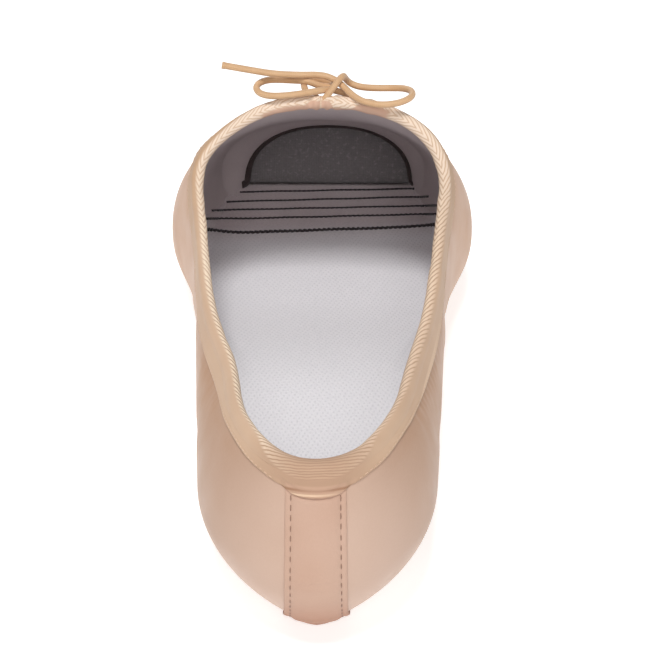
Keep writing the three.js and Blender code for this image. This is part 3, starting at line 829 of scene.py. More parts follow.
def build_upper():
    v, n = LV.copy(), LN.copy()
    top = above_topline(v[:, 1], v[:, 2])
    data = np.hstack([v, n])
    out, faces = clip_faces(data, LF, top + 2.0)
    # open underneath, where the sole closes it
    q = out[:, 1]
    flat = COL[2](np.clip(q, -120, 120))
    low = out[:, 2] < bottom(q) + 0.3
    hole = np.minimum.reduce([flat - 8.0 - np.abs(out[:, 0]), 84 - q, q + 96])
    hole = np.where(low, hole, -9.0)
    out, faces = clip_faces(out, faces, hole)
    v, n = out[:, :3], out[:, 3:]
    n /= np.linalg.norm(n, axis=1)[:, None]
    inner = v - n * wall_at(v[:, 1])[:, None]
    v = v + n * satin_relief(v)[:, None]
    k = len(v)
    allf = list(faces) + [tuple(i + k for i in f[::-1]) for f in faces]
    mats = [0] * len(faces) + [1] * len(faces)
    for i, j in boundary_edges(faces):
        allf.append((j, i, i + k, j + k))
        mats.append(0)
    ob = make_mesh("upper_satin", np.vstack([v, inner]), allf, [SATIN, LINING], mats)
    return ob


# ---------------------------------------------------------------- collar line and the band below it
def collar_line():
    top = above_topline(LV[:, 1], LV[:, 2])
    v, f = clip_faces(LV, LF, top)
    loop = max(chains(boundary_edges(f)), key=len)
    p = v[loop]
    p, _ = resample(p, 1600, True)
    p = smooth_ring(p, 7)
    # start at the heel
    i = int(np.argmin(p[:, 1] + 0.02 * np.abs(p[:, 0])))
    p = np.roll(p, -i, axis=0)
    if p[20, 0] < 0:
        p = np.roll(p[::-1], 1, axis=0)
    p = 0.5 * (p + np.roll(p[::-1], 1, axis=0) * np.array([-1, 1, 1]))
    return resample(p, 760, True)


COLLAR, COLLAR_LEN = collar_line()
NS = len(COLLAR)
STEP = 0.5
NU = 24


def band_grid():
    t = np.roll(COLLAR, -1, 0) - np.roll(COLLAR, 1, 0)
    t /= np.linalg.norm(t, axis=1)[:, None]
    pts = np.zeros((NS, NU + 1, 3))
    nor = np.zeros((NS, NU + 1, 3))
    for i in range(NS):
        p, n = surface(COLLAR[i])
        e = np.cross(n, t[i])
        e /= np.linalg.norm(e)
        a = above_topline(np.array([p[1] + 0.5 * e[1]]), np.array([p[2] + 0.5 * e[2]]))[0]
        if a > 0:
            e = -e
        pts[i, 0], nor[i, 0] = COLLAR[i], n
        for k in range(1, NU + 1):
            p, n2 = surface(p + e * STEP)
            e = e - (e @ n2) * n2
            e /= np.linalg.norm(e)
            pts[i, k], nor[i, k] = p, n2
    pts, nor = smooth_ring(pts, 2.5), smooth_ring(nor, 4)
    nor /= np.linalg.norm(nor, axis=2)[..., None]
    return pts, nor


BAND_P, BAND_N = band_grid()
S_ALONG = np.arange(NS) / NS * COLLAR_LEN
S_SIGNED = np.where(S_ALONG > COLLAR_LEN / 2, S_ALONG - COLLAR_LEN, S_ALONG)


def band_at(u):
    """Point and normal u millimetres below the collar (negative above it), for every sample; u may differ along it."""
    k = np.clip(np.broadcast_to(np.asarray(u, float) / STEP, (NS,)), 0, NU - 1e-6)
    i = k.astype(int)
    f = (k - i)[:, None]
    r = np.arange(NS)
    return BAND_P[r, i] * (1 - f) + BAND_P[r, i + 1] * f, BAND_N[r, i] * (1 - f) + BAND_N[r, i + 1] * f


def ring_noise(scale_mm, seed):
    r = np.random.default_rng(seed)
    k = max(4, int(COLLAR_LEN / scale_mm))
    x = r.normal(size=k)
    t = np.arange(NS) / NS * k
    i = t.astype(int)
    f = t - i
    f = f * f * (3 - 2 * f)
    return x[i % k] * (1 - f) + x[(i + 1) % k] * f


S_ABS = np.abs(S_SIGNED)
FRONT_HALF = 19.0
FROM_FRONT = COLLAR_LEN / 2 - S_ABS
FRONT = ease((FRONT_HALF + 1.0 - FROM_FRONT) / 2.5)
# how far the tape's lower edge lies below the collar, by distance from the heel
BAND_TABLE = np.array([
    # s, depth
    (0, 7.5), (3, 7.3), (5, 6.8), (6.4, 5.8), (12, 4.9), (18, 4.6), (24, 4.3), (32, 4.1), (42, 4.4), (50, 4.9), (58, 5.6), (70, 6.2), (85, 6.9), (100, 7.2), (130, 7.2), (400, 7.0),
])
BAND = np.interp(S_ABS, BAND_TABLE[:, 0], BAND_TABLE[:, 1])
BAND = smooth_ring(BAND[:, None], 1.5)[:, 0]
upper = build_upper()
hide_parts("upper")
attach(upper, "root")


BINDING = binding_material(float(COLLAR_LEN), FRONT_HALF)


def build_binding():
    wall = wall_at(BAND_P[:, 0, 1])
    heel = np.exp(-((S_SIGNED / 26.0) ** 2))
    front = np.exp(-((FROM_FRONT / 60.0) ** 2))
    slack = (0.05 + 0.06 * front) * ring_noise(4.5, 1) + 0.05 * ring_noise(14, 2) + 0.10 * FRONT * ring_noise(2.6, 5)
    # gathers where the cord comes out
    d = np.where(S_SIGNED > 0, FROM_FRONT, -FROM_FRONT)  # along the throat, positive on the right
    gather = np.zeros(NS)
    for at, wide, deep in ((0.2, 0.8, -0.55), (1.6, 0.7, 0.4), (2.7, 0.7, -0.4), (-1.5, 0.8, 0.35), (-3.4, 0.8, -0.5), (4.2, 1.0, 0.25), (-5.0, 1.0, 0.2), (9.0, 1.3, -0.2), (-9.5, 1.4, 0.22), (13.5, 1.4, 0.2), (-14.0, 1.2, -0.25)):
        gather += deep * np.exp(-(((d - at) / wide) ** 2)) * (FROM_FRONT < 22)
    rnd = [ring_noise(3.5, 20 + k) for k in range(6)]
    verts = []
    lip = np.exp(-((S_SIGNED / 6.0) ** 8))  # the fold that covers the top of the back strip
    ends = np.exp(-(((S_ABS - 6.9) / 0.7) ** 2))
    roll_u = np.minimum(2.3, 0.55 * BAND)
    k = np.minimum(1.0, (BAND - roll_u) / 2.8)
    # below the roll: distance from the lower edge, height
    for w, off in ((0.0, -0.25), (0.02, 0.34), (0.25, 0.52), (0.55, 0.55), (0.9, 0.5), (1.25, 0.52), (1.6, 0.58), (2.0, 0.6), (2.4, 0.6)):
        p, n = band_at(BAND - w * k)
        o = off + 0.6 * slack * min(1, w / 1.5)
        o = o + lip * ((0.3 + 0.08 * rnd[4]) * math.exp(-(((w - 0.5) / 0.45) ** 2)) - 0.32 * math.exp(-(((w - 1.45) / 0.35) ** 2)) + 0.05)
        o = o - ends * 0.35 * math.exp(-(((w - 0.7) / 0.8) ** 2)) * (w > 0.01)
        verts.append(p + n * o[:, None])
    low = BAND - 2.4 * k
    for j, (t, off) in enumerate(((0.6, 0.6), (0.3, 0.6))):
        p, n = band_at(roll_u + (low - roll_u) * t)
        verts.append(p + n * (off + slack + 0.05 * heel * rnd[j])[:, None])
    roll_fat = 1.0 + 0.1 * front
    for t, off in ((1.0, 0.63), (0.9, 0.69), (0.75, 0.83), (0.55, 0.98), (0.3, 1.07), (0.0, 1.05)):
        p, n = band_at(roll_u * t)
        verts.append(p + n * (off * roll_fat + slack + (0.3 + 0.7 * FRONT) * gather * (1 - 0.65 * t))[:, None])
    # over the top
    r_out, r_in = 1.05 * roll_fat, 0.75
    p, n = band_at(0.0)
    up = BAND_P[:, 0] - BAND_P[:, 1]
    up /= np.linalg.norm(up, axis=1)[:, None]
    half = (wall + r_out + r_in) / 2
    mid = p + n * (r_out - half)[:, None]
    top_at = len(verts)
    arc = np.linspace(0, np.pi, 13)[1:-1]
    for a in arc:
        h = 1.3 * np.sin(a) * (1 + 0.12 * FRONT) + (slack + gather) * np.sin(a)
        verts.append(mid + n * ((half + slack) * np.cos(a))[:, None] + up * h[:, None])
    top_at += len(arc) // 2
    deep = 5.0 + 1.6 * np.exp(-(((d + 24) / 12) ** 2)) * (S_SIGNED < 0)
    for t, off in ((0.0, 0.75), (0.12, 0.85), (0.25, 0.8), (0.4, 0.62), (0.55, 0.5), (0.7, 0.45), (0.85, 0.42), (0.95, 0.34), (0.99, 0.22), (1.0, 0.02)):
        p, n = band_at(deep * t)
        live = min(1, (1 - t) * 3)
        verts.append(p - n * (wall + off + live * (0.6 * slack + 0.8 * gather * (1 - t)))[:, None])
    # closing run inside the wall
    for t, dd in ((0.5, 0.5), (0.85, 0.5)):
        p, n = band_at(BAND * t)
        verts.append(p - n * (wall * dd)[:, None])
    m = len(verts)
    g = np.stack(verts, 1)
    seg = np.linalg.norm(np.diff(g, axis=1), axis=2).mean(0)
    arcs = np.concatenate([[0], np.cumsum(seg)])
    along = np.concatenate([np.zeros((NS, 1)), np.cumsum(np.linalg.norm(np.diff(g, axis=1), axis=2), axis=1)], 1)
    u_uv = along[:, top_at : top_at + 1] - along
    v = g.reshape(-1, 3)
    uv = np.stack([np.repeat(S_SIGNED, m), u_uv.ravel()], 1)
    f = []
    for i in range(NS):
        k = (i + 1) % NS
        for j in range(m):
            l = (j + 1) % m
            f.append((i * m + j, k * m + j, k * m + l, i * m + l))
    return fix_out(make_mesh("binding_tape", v, f, [BINDING], uv=uv))


binding = build_binding()
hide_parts("binding")
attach(binding, "root")


def stitches(path, normal, length, gap, radius, lift, start=0.0, sides=6, bow=0.35):
    """Short sunk threads along a path that lies on a surface."""
    s = np.concatenate([[0], np.cumsum(np.linalg.norm(np.diff(path, axis=0), axis=1))])
    parts = []
    at = start
    while at + length < s[-1]:
        t = np.linspace(at, at + length, 7)
        p = np.stack([np.interp(t, s, path[:, k]) for k in range(3)], 1)
        n = np.stack([np.interp(t, s, normal[:, k]) for k in range(3)], 1)
        n /= np.linalg.norm(n, axis=1)[:, None]
        h = lift + bow * radius * np.sin(np.linspace(0, np.pi, 7)) - 0.7 * radius * np.cos(np.linspace(0, np.pi, 7)) ** 8
        rr = radius * (1 - 0.35 * np.cos(np.linspace(0, np.pi, 7)) ** 6)
        parts.append(tube(p + n * h[:, None], radius, sides, radii=rr))
        at += length + gap * (1 + 0.15 * RNG.normal())
    return joined(parts)


def build_band_stitches():
    p, n = band_at(BAND - 0.5)
    keep = np.nonzero(S_ABS > 9.0)[0]
    keep = np.concatenate([keep[keep < NS // 2 + 1], keep[keep >= NS // 2 + 1]])
    v, f, uv = stitches(p[keep], n[keep], 0.95, 0.75, 0.11, 0.52)
    return make_mesh("binding_stitches", v, f, [THREAD_PEACH])


bst = build_band_stitches()
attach(bst, "root")


# ---------------------------------------------------------------- back strip
def level_rows(n_up, n_low, n_bot):
    rows = []
    for part, count, a0, a1 in ((2, n_up, 0.72, 0.0), (1, n_low, 1.0, 0.0), (0, n_bot, 1.0, 0.86)):
        for a in np.linspace(a0, a1, count, endpoint=False):
            rows.append((part, a))
    return rows


Q_FINE = -LENGTH / 2 + 40 * np.linspace(0, 1, 500) ** 2


def heel_row(part, a, xs):
    """Points of one level line of the heel at given distances from the centre."""
    p = last_point(Q_FINE, part, np.full_like(Q_FINE, a))
    x = np.abs(xs)
    return np.stack([xs, np.interp(x, p[:, 0], p[:, 1]), np.interp(x, p[:, 0], p[:, 2])], 1)


STRIP_TOP = 4.6


def build_strip():
    rows = level_rows(80, 66, 5)
    cols = np.array([-1, -0.99, -0.95, -0.89, -0.84, -0.8, -0.76, -0.7, -0.6, -0.45, -0.3, -0.15, 0, 0.15, 0.3, 0.45, 0.6, 0.7, 0.76, 0.8, 0.84, 0.89, 0.95, 0.99, 1])
    grid, ts, ds = [], [], []
    for part, a in rows:
        c = heel_row(part, a, np.array([0.0]))[0]
        d = -above_topline(np.array([c[1]]), np.array([c[2]]))[0]
        if d < STRIP_TOP - 0.01:
            continue
        t = np.clip((d - STRIP_TOP) / 46.0, 0, 1)
        ts.append(t)
        ds.append(d)
        grid.append(heel_row(part, a, cols * (6.7 + 0.75 * t)))
    ends = np.linspace(-109.6, -105.4, 5)
    for y in ends:
        row = grid[-1].copy()
        row[:, 1] = np.maximum(row[:, 1], y)
        row[:, 2] = np.minimum(row[:, 2], bottom(row[:, 1]))
        grid.append(row)
        ts.append(1.0)
        ds.append(ds[-1] + 1.0)
    g = np.array(grid)
    ts, ds = np.array(ts), np.array(ds)
    n, m = g.shape[:2]
    nor = np.zeros_like(g)
    for i in range(n):
        for j in range(m):
            nor[i, j] = surface(g[i, j])[1]
    # raised channel between the two seams, sunk seams, thin raw edges
    c = np.abs(cols)
    lift = np.interp(c, [0, 0.3, 0.6, 0.74, 0.8, 0.86, 0.93, 0.985, 1], [0.74, 0.72, 0.66, 0.5, 0.26, 0.42, 0.46, 0.4, 0.22])
    lift = np.broadcast_to(lift, (n, m)).copy()
    r = np.random.default_rng(3)
    wave = np.convolve(r.normal(size=n + 8), np.ones(5) / 5, "same")[4:-4]
    lift += 0.06 * wave[:, None] * (c > 0.85)
    lift += 0.05 * np.sin(np.arange(n) * 0.55 + 3 * np.sin(np.arange(n) * 0.13))[:, None] * (c < 0.7) * (0.4 + 0.6 * ts[:, None])
    # the stiff lower end stands off the round of the heel at its corners
    foot = ease((ts - 0.76) / 0.2)
    stand = np.ones(n)
    stand[-len(ends) - 1 :] = np.linspace(1, 0.1, len(ends) + 1)
    lift += (foot * stand)[:, None] * np.interp(c, [0, 0.4, 0.8, 1], [-0.35, -0.25, 0.6, 1.5])[None, :]
    lift = np.maximum(lift, 0.16)
    # tucked under the tape at the top
    edge = np.interp(np.abs(g[..., 0]), [0, 3, 5, 6, 7, 8], [7.5, 7.3, 6.8, 6.0, 5.6, 5.4])
    lift = 0.1 + (lift - 0.1) * ease((ds[:, None] - edge + 0.4) / 0.9)
    v = (g + nor * lift[..., None]).reshape(-1, 3)
    under = (g + nor * (lift * 0.5 * foot[:, None] * (c > 0.7) + 0.02)[..., None]).reshape(-1, 3)
    k = n * m
    f = []
    for i in range(n - 1):
        for j in range(m - 1):
            f.append((i * m + j, i * m + j + 1, (i + 1) * m + j + 1, (i + 1) * m + j))
    for i, j in boundary_edges(f):
        f.append((j, i, i + k, j + k))
    f += [tuple(x + k for x in q[::-1]) for q in f[: (n - 1) * (m - 1)]]
    ob = fix_out(make_mesh("back_strip_cloth", np.vstack([v, under]), f, [STRIP]))
    lines = []
    for sgn in (-1, 1):
        j = int(np.argmin(np.abs(cols - 0.8 * sgn)))
        lines.append((g[:, j] + nor[:, j] * lift[:, j, None], nor[:, j]))
    return ob, lines


strip, strip_lines = build_strip()
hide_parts("back_strip")
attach(strip, "root")
parts = []
for path, n in strip_lines:
    parts.append(stitches(path[5:], n[5:], 1.45, 1.05, 0.15, 0.06))
v, f, uv = joined(parts)
sst = make_mesh("back_strip_stitches", v, f, [THREAD_BROWN])
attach(sst, "root")


# ---------------------------------------------------------------- outsole
def sole_half(y):
    half = spline(OUTSOLE[:, 0], OUTSOLE[:, 1])(y)
    y0, y1 = OUTSOLE[0, 0], OUTSOLE[-1, 0]
    back = np.clip((y0 + OUTSOLE_HEEL_ROUND - y) / OUTSOLE_HEEL_ROUND, 0, 1)
    front = np.clip((y - y1 + OUTSOLE_TIP_ROUND) / OUTSOLE_TIP_ROUND, 0, 1)
    return half * np.sqrt(np.maximum(1 - back**2, 0)) * np.sqrt(np.maximum(1 - front**2.3, 0))


def build_outsole():
    y0, y1 = OUTSOLE[0, 0], OUTSOLE[-1, 0]
    n = 170
    ys = y0 + (y1 - y0) * (0.5 - 0.5 * np.cos(np.pi * np.linspace(0.012, 0.992, n)))
    h = sole_half(ys)
    slope = np.gradient(h, ys)
    # distances from the edge, measured square to it
    d = np.array([0.0, 0.12, 0.4, 0.8, 1.4, 2.4, 2.8, 3.1, 3.4, 3.8, 5.0])
    inner = np.linspace(0.25, 1, 5)
    cols = []
    for dd in d:
        cols.append(np.minimum(dd * np.sqrt(1 + slope**2), h * 0.72))
    base = cols[-1]
    for t in inner[:-1]:
        cols.append(base + (h - base) * t)
    cols = np.stack(cols, 1)  # n x m, distance from the edge towards the centre
    right = h[:, None] - cols
    x = np.concatenate([right, np.zeros((n, 1)), -right[:, ::-1]], 1)
    dist = np.concatenate([cols, h[:, None], cols[:, ::-1]], 1)
    true = dist / np.sqrt(1 + slope**2)[:, None]
    end = np.minimum(ys - y0, y1 - ys)[:, None]
    true = np.minimum(true, end + 0.3)
    edge = 0.8 * (1 - np.sqrt(np.maximum(1 - (1 - np.clip(true / 0.8, 0, 1)) ** 2, 0)))
    groove = 0.32 * np.exp(-(((true - 3.1) / 0.28) ** 2))
    zb = tread(ys)[:, None] + edge * 0.8 + groove
    zt = tread(ys)[:, None] + OUTSOLE_THICK - edge * 0.5
    yy = np.broadcast_to(ys[:, None], x.shape)
    m = x.shape[1]
    lowv = np.stack([x, yy, zb], -1).reshape(-1, 3)
    topv = np.stack([x, yy, zt], -1).reshape(-1, 3)
    f = []
    for i in range(n - 1):
        for j in range(m - 1):
            f.append((i * m + j, i * m + j + 1, (i + 1) * m + j + 1, (i + 1) * m + j))
    k = n * m
    nf = len(f)
    edges = boundary_edges(f)
    f += [tuple(q + k for q in r[::-1]) for r in f[:nf]]
    for i, j in edges:
        f.append((j, i, i + k, j + k))
    return fix_out(make_mesh("outsole_leather", np.vstack([lowv, topv]), f, [LEATHER]))


outsole = build_outsole()
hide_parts("outsole")
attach(outsole, "root")


# ---------------------------------------------------------------- pleats under the box, round the tip of the sole
def build_pleats():
    cx, cy = 0.0, 64.0
    nt, nr = 560, 26
    th = np.linspace(-math.radians(118), math.radians(118), nt)
    grid = np.zeros((nt, nr, 3))
    r = np.random.default_rng(11)
    count = 34
    phase = np.cumsum(np.clip(1 + 0.22 * r.normal(size=count + 2), 0.6, 1.5))
    phase = phase / phase[-1]
    for i, a in enumerate(th):
        d = np.array([math.sin(a), math.cos(a)])
        # edge of the sole in this direction
        rs = np.linspace(0, 60, 400)
        x, y = cx + d[0] * rs, cy + d[1] * rs
        inside = (y < OUTSOLE[-1, 0]) & (np.abs(x) < sole_half(np.minimum(y, OUTSOLE[-1, 0] - 0.01)))
        r_in = rs[np.nonzero(inside)[0][-1]] - 1.6
        # edge of the upper seen from below
        hit = None
        for rr in np.linspace(60, r_in, 160):
            loc, n, k, dd = BVH.ray_cast(Vector((cx + d[0] * rr, cy + d[1] * rr, -30)), Vector((0, 0, 1)))
            if loc is not None:
                hit = rr
                break
        r_out = min(hit - 0.7, r_in + 17.0 + 2.0 * math.cos(a))
        u = (th[i] - th[0]) / (th[-1] - th[0])
        k = int(np.searchsorted(phase, u)) - 1
        k = min(max(k, 0), count)
        lo, hi = phase[k], phase[k + 1]
        w = min(max((u - lo) / (hi - lo), 0), 1)
        fold = (1 - abs(2 * w - 1) ** 1.6) if k % 2 == 0 else 0.75 * (1 - abs(2 * w - 1) ** 1.6)
        fold -= 0.22
        reach = 0.72 + 0.28 * math.sin(7.3 * k + 1.7)
        for j in range(nr):
            t = j / (nr - 1)
            rr = r_in + (r_out - r_in) * t
            o = Vector((cx + d[0] * rr, cy + d[1] * rr, -30))
            loc, n, kk, dd = BVH.ray_cast(o, Vector((0, 0, 1)))
            p, nn = surface(loc)
            amp = 0.62 * (1 - ease(t / max(reach, 0.2)))
            grid[i, j] = p + nn * (0.06 + amp * fold * (0.4 + 0.6 * min(1, t * 6 + 0.4)) - 0.12 * ease((t - 0.9) / 0.1))
    v = grid.reshape(-1, 3)
    f = []
    for i in range(nt - 1):
        for j in range(nr - 1):
            f.append((i * nr + j, i * nr + j + 1, (i + 1) * nr + j + 1, (i + 1) * nr + j))
    back = v + np.array([0, 0, 0.5])
    k = len(v)
    nf = len(f)
    edges = boundary_edges(f)
    f += [tuple(q + k for q in r_[::-1]) for r_ in f[:nf]]
    for i, j in edges:
        f.append((j, i, i + k, j + k))
    return fix_out(make_mesh("toe_pleats", np.vstack([v, back]), f, [SATIN]))


pleats = build_pleats()
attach(pleats, "root")


# ---------------------------------------------------------------- inside: sock, sewn lines, toe pad
FLOOR = OUTSOLE_THICK + FIT + WALL_BOX + 0.1 + 2.4
FLATTEN = 0.4  # share of the arch that the insole board bridges


def floor_at(y):
    y = np.asarray(y, float)
    return FLOOR + tread(y) - FLATTEN * ARCH_HEIGHT * np.sin(np.pi * np.clip((y - ARCH_BACK) / (ARCH_FRONT - ARCH_BACK), 0, 1)) ** 2
PAD_Y = 100.2


def inner_half(y, z):
    """Half-width of the inside at a height, from the last less its wall."""
    loc, n, i, d = BVH.ray_cast(Vector((0, y, z)), Vector((1, 0, 0)))
    if loc is None:
        return 0.0
    p, nn = surface(loc)
    return max(p[0] - wall_at(y) / max(nn[0], 0.45), 0.0)


def fillet_at(y):
    y = np.asarray(y, float)
    return 3.0 + 2.5 * ease((y - 20) / 40) - 4.0 * ease((y - 66) / 22)


HEEL_IN = BVH.ray_cast(Vector((0, -80, FLOOR + 3.0)), Vector((0, -1, 0)))[0][1] + WALL_QUARTER
INS_Y = np.concatenate([HEEL_IN + 26 * (1 - np.cos(np.linspace(0, np.pi / 2, 40, endpoint=False))), np.linspace(HEEL_IN + 26, PAD_Y + 0.6, 130)])
INS_H = np.array([inner_half(y, float(floor_at(y)) + float(fillet_at(y))) for y in INS_Y])


def insole_half(y):
    return np.interp(y, INS_Y, INS_H)


def insole_top(x, y):
    h, r = insole_half(y), fillet_at(y)
    r = np.minimum(r, h * 0.8 + 0.01)
    t = np.clip((np.abs(x) - (h - r)) / r, 0, 1)
    return floor_at(y) + r * (1 - np.sqrt(np.maximum(1 - t**2, 0)))


def build_insole():
    u = np.concatenate([-1 + 0.3 * (1 - np.cos(np.linspace(0, np.pi / 2, 12, endpoint=False))), np.linspace(-0.7, 0.7, 25)[:-1], 0.7 + 0.3 * np.sin(np.linspace(0, np.pi / 2, 13))])
    x = (INS_H + 0.5)[:, None] * u[None, :]
    y = np.broadcast_to(INS_Y[:, None], x.shape)
    z = insole_top(x, y)
    # over the waist its sides lie up on the rounded bottom of the upper
    bed = np.full(x.shape, -50.0)
    for i, j in np.argwhere((y > -70) & (y < 40) & (np.abs(x) > 8)):
        loc = BVH.ray_cast(Vector((x[i, j], y[i, j], 30.0)), Vector((0, 0, -1)))[0]
        if loc is not None:
            bed[i, j] = loc[2]
    wall = wall_at(INS_Y)[:, None]
    z = np.maximum(z, np.minimum(bed + wall / 0.9 + 0.15, z + 2.6))
    n, m = x.shape
    top = np.stack([x, y, z], -1).reshape(-1, 3)
    under = np.minimum(np.maximum(z - 0.7, bed + 0.5 * wall), z - 0.15)
    low = np.stack([x * 0.97, y + 1.2 * ease((-95 - y) / 20), under], -1).reshape(-1, 3)
    f = []
    for i in range(n - 1):
        for j in range(m - 1):
            f.append((i * m + j, i * m + j + 1, (i + 1) * m + j + 1, (i + 1) * m + j))
    k = n * m
    nf = len(f)
    edges = boundary_edges(f)
    f += [tuple(q + k for q in r[::-1]) for r in f[:nf]]
    for i, j in edges:
        f.append((j, i, i + k, j + k))
    return fix_out(make_mesh("insole_sock", np.vstack([top, low]), f, [INSOLE]))


insole = build_insole()
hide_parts("insole")
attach(insole, "root")

# dark lines sewn across the forefoot
LINES = [
    # y at the middle, slope, x from, x to, curl at the left and right ends, radius, zigzag
    (96.5, 0.045, -26.4, 28.6, 0.0, 0.0, 0.36, 0.0),
    (90.9, 0.060, -30.2, 32.6, 0.0, 0.0, 0.36, 0.0),
    (85.3, 0.052, -34.2, 37.4, 0.0, 0.0, 0.36, 0.05),
    (79.6, 0.058, -38.4, 37.4, 0.6, 0.0, 0.38, 0.10),
    (71.0, 0.080, -38.4, 37.0, 3.4, 1.7, 0.50, 0.26),
]
LINE_LEAN = 1.88  # how far a line runs back for each millimetre it climbs up a wall


def skin_of(*obs):
    vs, fs = [], []
    for ob in obs:
        k = len(vs)
        vs += [(p.co.x / MM, p.co.y / MM - SHIFT, p.co.z / MM) for p in ob.data.vertices]
        fs += [[k + i for i in q.vertices] for q in ob.data.polygons]
    return BVHTree.FromPolygons(vs, fs)


def build_lines():
    skin = skin_of(insole, upper)
    parts = []
    w = Vector((0, -LINE_LEAN, 1)).normalized()
    for k, (y, m, x0, x1, c0, c1, r, zig) in enumerate(LINES):
        p = []
        for x in np.linspace(x0, x1, 420):
            curl = c0 * min(max((-x - 20) / 16, 0), 1) ** 2 + c1 * min(max((x - 22) / 14, 0), 1) ** 2
            f = Vector((x, y + m * x + curl + 0.10 * math.sin(x * 0.31 + 1.7 * k), 0))
            f.z = float(floor_at(f.y))
            hit = skin.ray_cast(f + w * 26.0, -w, 60.0)[0]
            if hit is not None and hit.z - f.z < 13.0:
                p.append(np.array(hit + w * (0.35 * r)))
        p, total = resample(np.array(p), 460)
        s = np.linspace(0, total, len(p))
        if zig:
            p[:, 1] += zig * np.sign(np.sin(2 * np.pi * s / 1.5)) * np.abs(np.sin(2 * np.pi * s / 1.5)) ** 0.6
        rr = r * (1 + 0.10 * np.sin(s * 4.3 + y) + (0.14 * np.sin(2 * np.pi * s / 0.75) if zig > 0.2 else 0))
        parts.append(tube(p, r, 8, radii=rr))
    v, f, uv = joined(parts)
    return make_mesh("forefoot_lines", v, f, [BLACK])


lines = build_lines()
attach(lines, "root")

# the pad that closes the toe: an arch on the floor, its face crowned a little
PAD_X, PAD_HALF, PAD_HIGH, PAD_ROUND = 1.7, 25.9, 20.8, 2.3


def arch_point(a, scale=1.0):
    c, s = np.cos(a), np.sin(a)
    x = np.sign(c) * np.abs(c) ** (2 / PAD_ROUND)
    z = np.abs(s) ** (2 / PAD_ROUND)
    return PAD_X + PAD_HALF * x * scale, float(tread(PAD_Y)) + FLOOR + 0.1 + PAD_HIGH * z * scale


def build_pad():
    n = 96
    a = np.linspace(0, np.pi, n)
    ox, oz = arch_point(a)
    base = np.linspace(-1, 1, 64)[1:-1]
    lx = np.concatenate([ox, PAD_X + PAD_HALF * base])
    lz = np.concatenate([oz, np.full(len(base), oz[0])])
    cx, cz = PAD_X, oz[0] + 0.40 * PAD_HIGH
    m = len(lx)
    rings = []
    for s in np.concatenate([np.linspace(1, 0.88, 7), np.linspace(0.82, 0.1, 10)]):
        crown = 1.5 * (1 - s**2.2) + 0.35 * (1 - s) ** 0.5
        rings.append(np.stack([cx + (lx - cx) * s, np.full(m, PAD_Y + 1.2) - crown, cz + (lz - cz) * s], 1))
    v = np.vstack(rings + [[[cx, PAD_Y + 1.2 - 1.85, cz]]])
    k = len(v)
    back = np.stack([cx + (lx - cx) * 0.88, np.full(m, PAD_Y + 12.0), cz + (lz - cz) * 0.78 - 0.6], 1)
    v = np.vstack([v, back])
    f = []
    nr = len(rings)
    for i in range(nr - 1):
        for j in range(m):
            l = (j + 1) % m
            f.append((i * m + j, i * m + l, (i + 1) * m + l, (i + 1) * m + j))
    for j in range(m):
        l = (j + 1) % m
        f.append(((nr - 1) * m + j, (nr - 1) * m + l, k - 1))
        f.append((j, k + j, k + l, l))
    f.append(tuple(range(k, k + m)))
    pad = fix_out(make_mesh("toe_pad_cloth", v, f, [PAD]))
    # piping along the arch, thicker at its feet, which turn out on the floor; the thick dark feet also stand in for the
    # shade where the arch meets the floor
    arch = np.stack([ox, np.full(n, PAD_Y - 0.1), oz], 1)[4:-4:4]
    fl = oz[0]
    right = [(PAD_X + PAD_HALF + 1.7, PAD_Y - 1.6, fl + 1.1), (PAD_X + PAD_HALF + 0.5, PAD_Y - 0.4, fl + 1.3)]
    left = [(PAD_X - PAD_HALF - 0.5, PAD_Y - 0.4, fl + 1.0), (PAD_X - PAD_HALF - 2.0, PAD_Y - 1.8, fl + 0.7)]
    path = catmull(np.vstack([right, arch, left]), 6)
    t = np.linspace(0, 1, len(path))
    rad = 0.92 + 0.34 * np.exp(-((t / 0.07) ** 2)) + 0.5 * np.exp(-(((1 - t) / 0.08) ** 2))
    pv, pf, puv = tube(path, 0.68, 12, radii=rad)
    pipe = make_mesh("toe_pad_piping", pv, pf, [PIPING])
    return pad, pipe


pad, pipe = build_pad()
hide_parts("toe_pad")
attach(pad, "root")
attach(pipe, "root")


def build_toe_lining():
    """The lining's sleeve from the box wall in to the arch of the pad."""
    n = 110
    a = np.linspace(-0.14, np.pi + 0.14, n)
    nt = 12
    grid = np.zeros((n, nt, 3))
    fl = float(tread(PAD_Y)) + FLOOR
    for i, ang in enumerate(a):
        ax, az = arch_point(np.clip(ang, 0, np.pi))
        az = float(az) - (1.2 if ang < 0 or ang > np.pi else 0.0)
        dx, dz = math.cos(ang), math.sin(ang)
        for j in range(nt):
            t = j / (nt - 1)
            y = PAD_Y + 0.9 - 10.5 * t
            o = Vector((PAD_X * (1 - t), y, fl + 2.0))
            loc, nn, k, dist = BVH.ray_cast(o, Vector((dx, 0, dz)).normalized())
            p, m = surface(loc)
            w = p - m * (wall_at(y) - 0.02 - 0.25 * (1 - t))
            q = np.array([float(ax), y, az])
            mix = ease(t) ** 0.8
            grid[i, j] = q * (1 - mix) + np.array([w[0], y, w[2]]) * mix
    v = grid.reshape(-1, 3)
    back = v.copy()
    c = np.array([PAD_X, 0, fl + 8.0])
    d = (v - c) * np.array([1, 0, 1])
    back += 0.5 * d / (np.linalg.norm(d, axis=1)[:, None] + 1e-9)
    f = []
    for i in range(n - 1):
        for j in range(nt - 1):
            f.append((i * nt + j, i * nt + j + 1, (i + 1) * nt + j + 1, (i + 1) * nt + j))
    k = len(v)
    nf = len(f)
    edges = boundary_edges(f)
    f += [tuple(q + k for q in r[::-1]) for r in f[:nf]]
    for i, j in edges:
        f.append((j, i, i + k, j + k))
    return fix_out(make_mesh("toe_lining", np.vstack([v, back]), f, [LINING]))


toe_lining = build_toe_lining()
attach(toe_lining, "root")


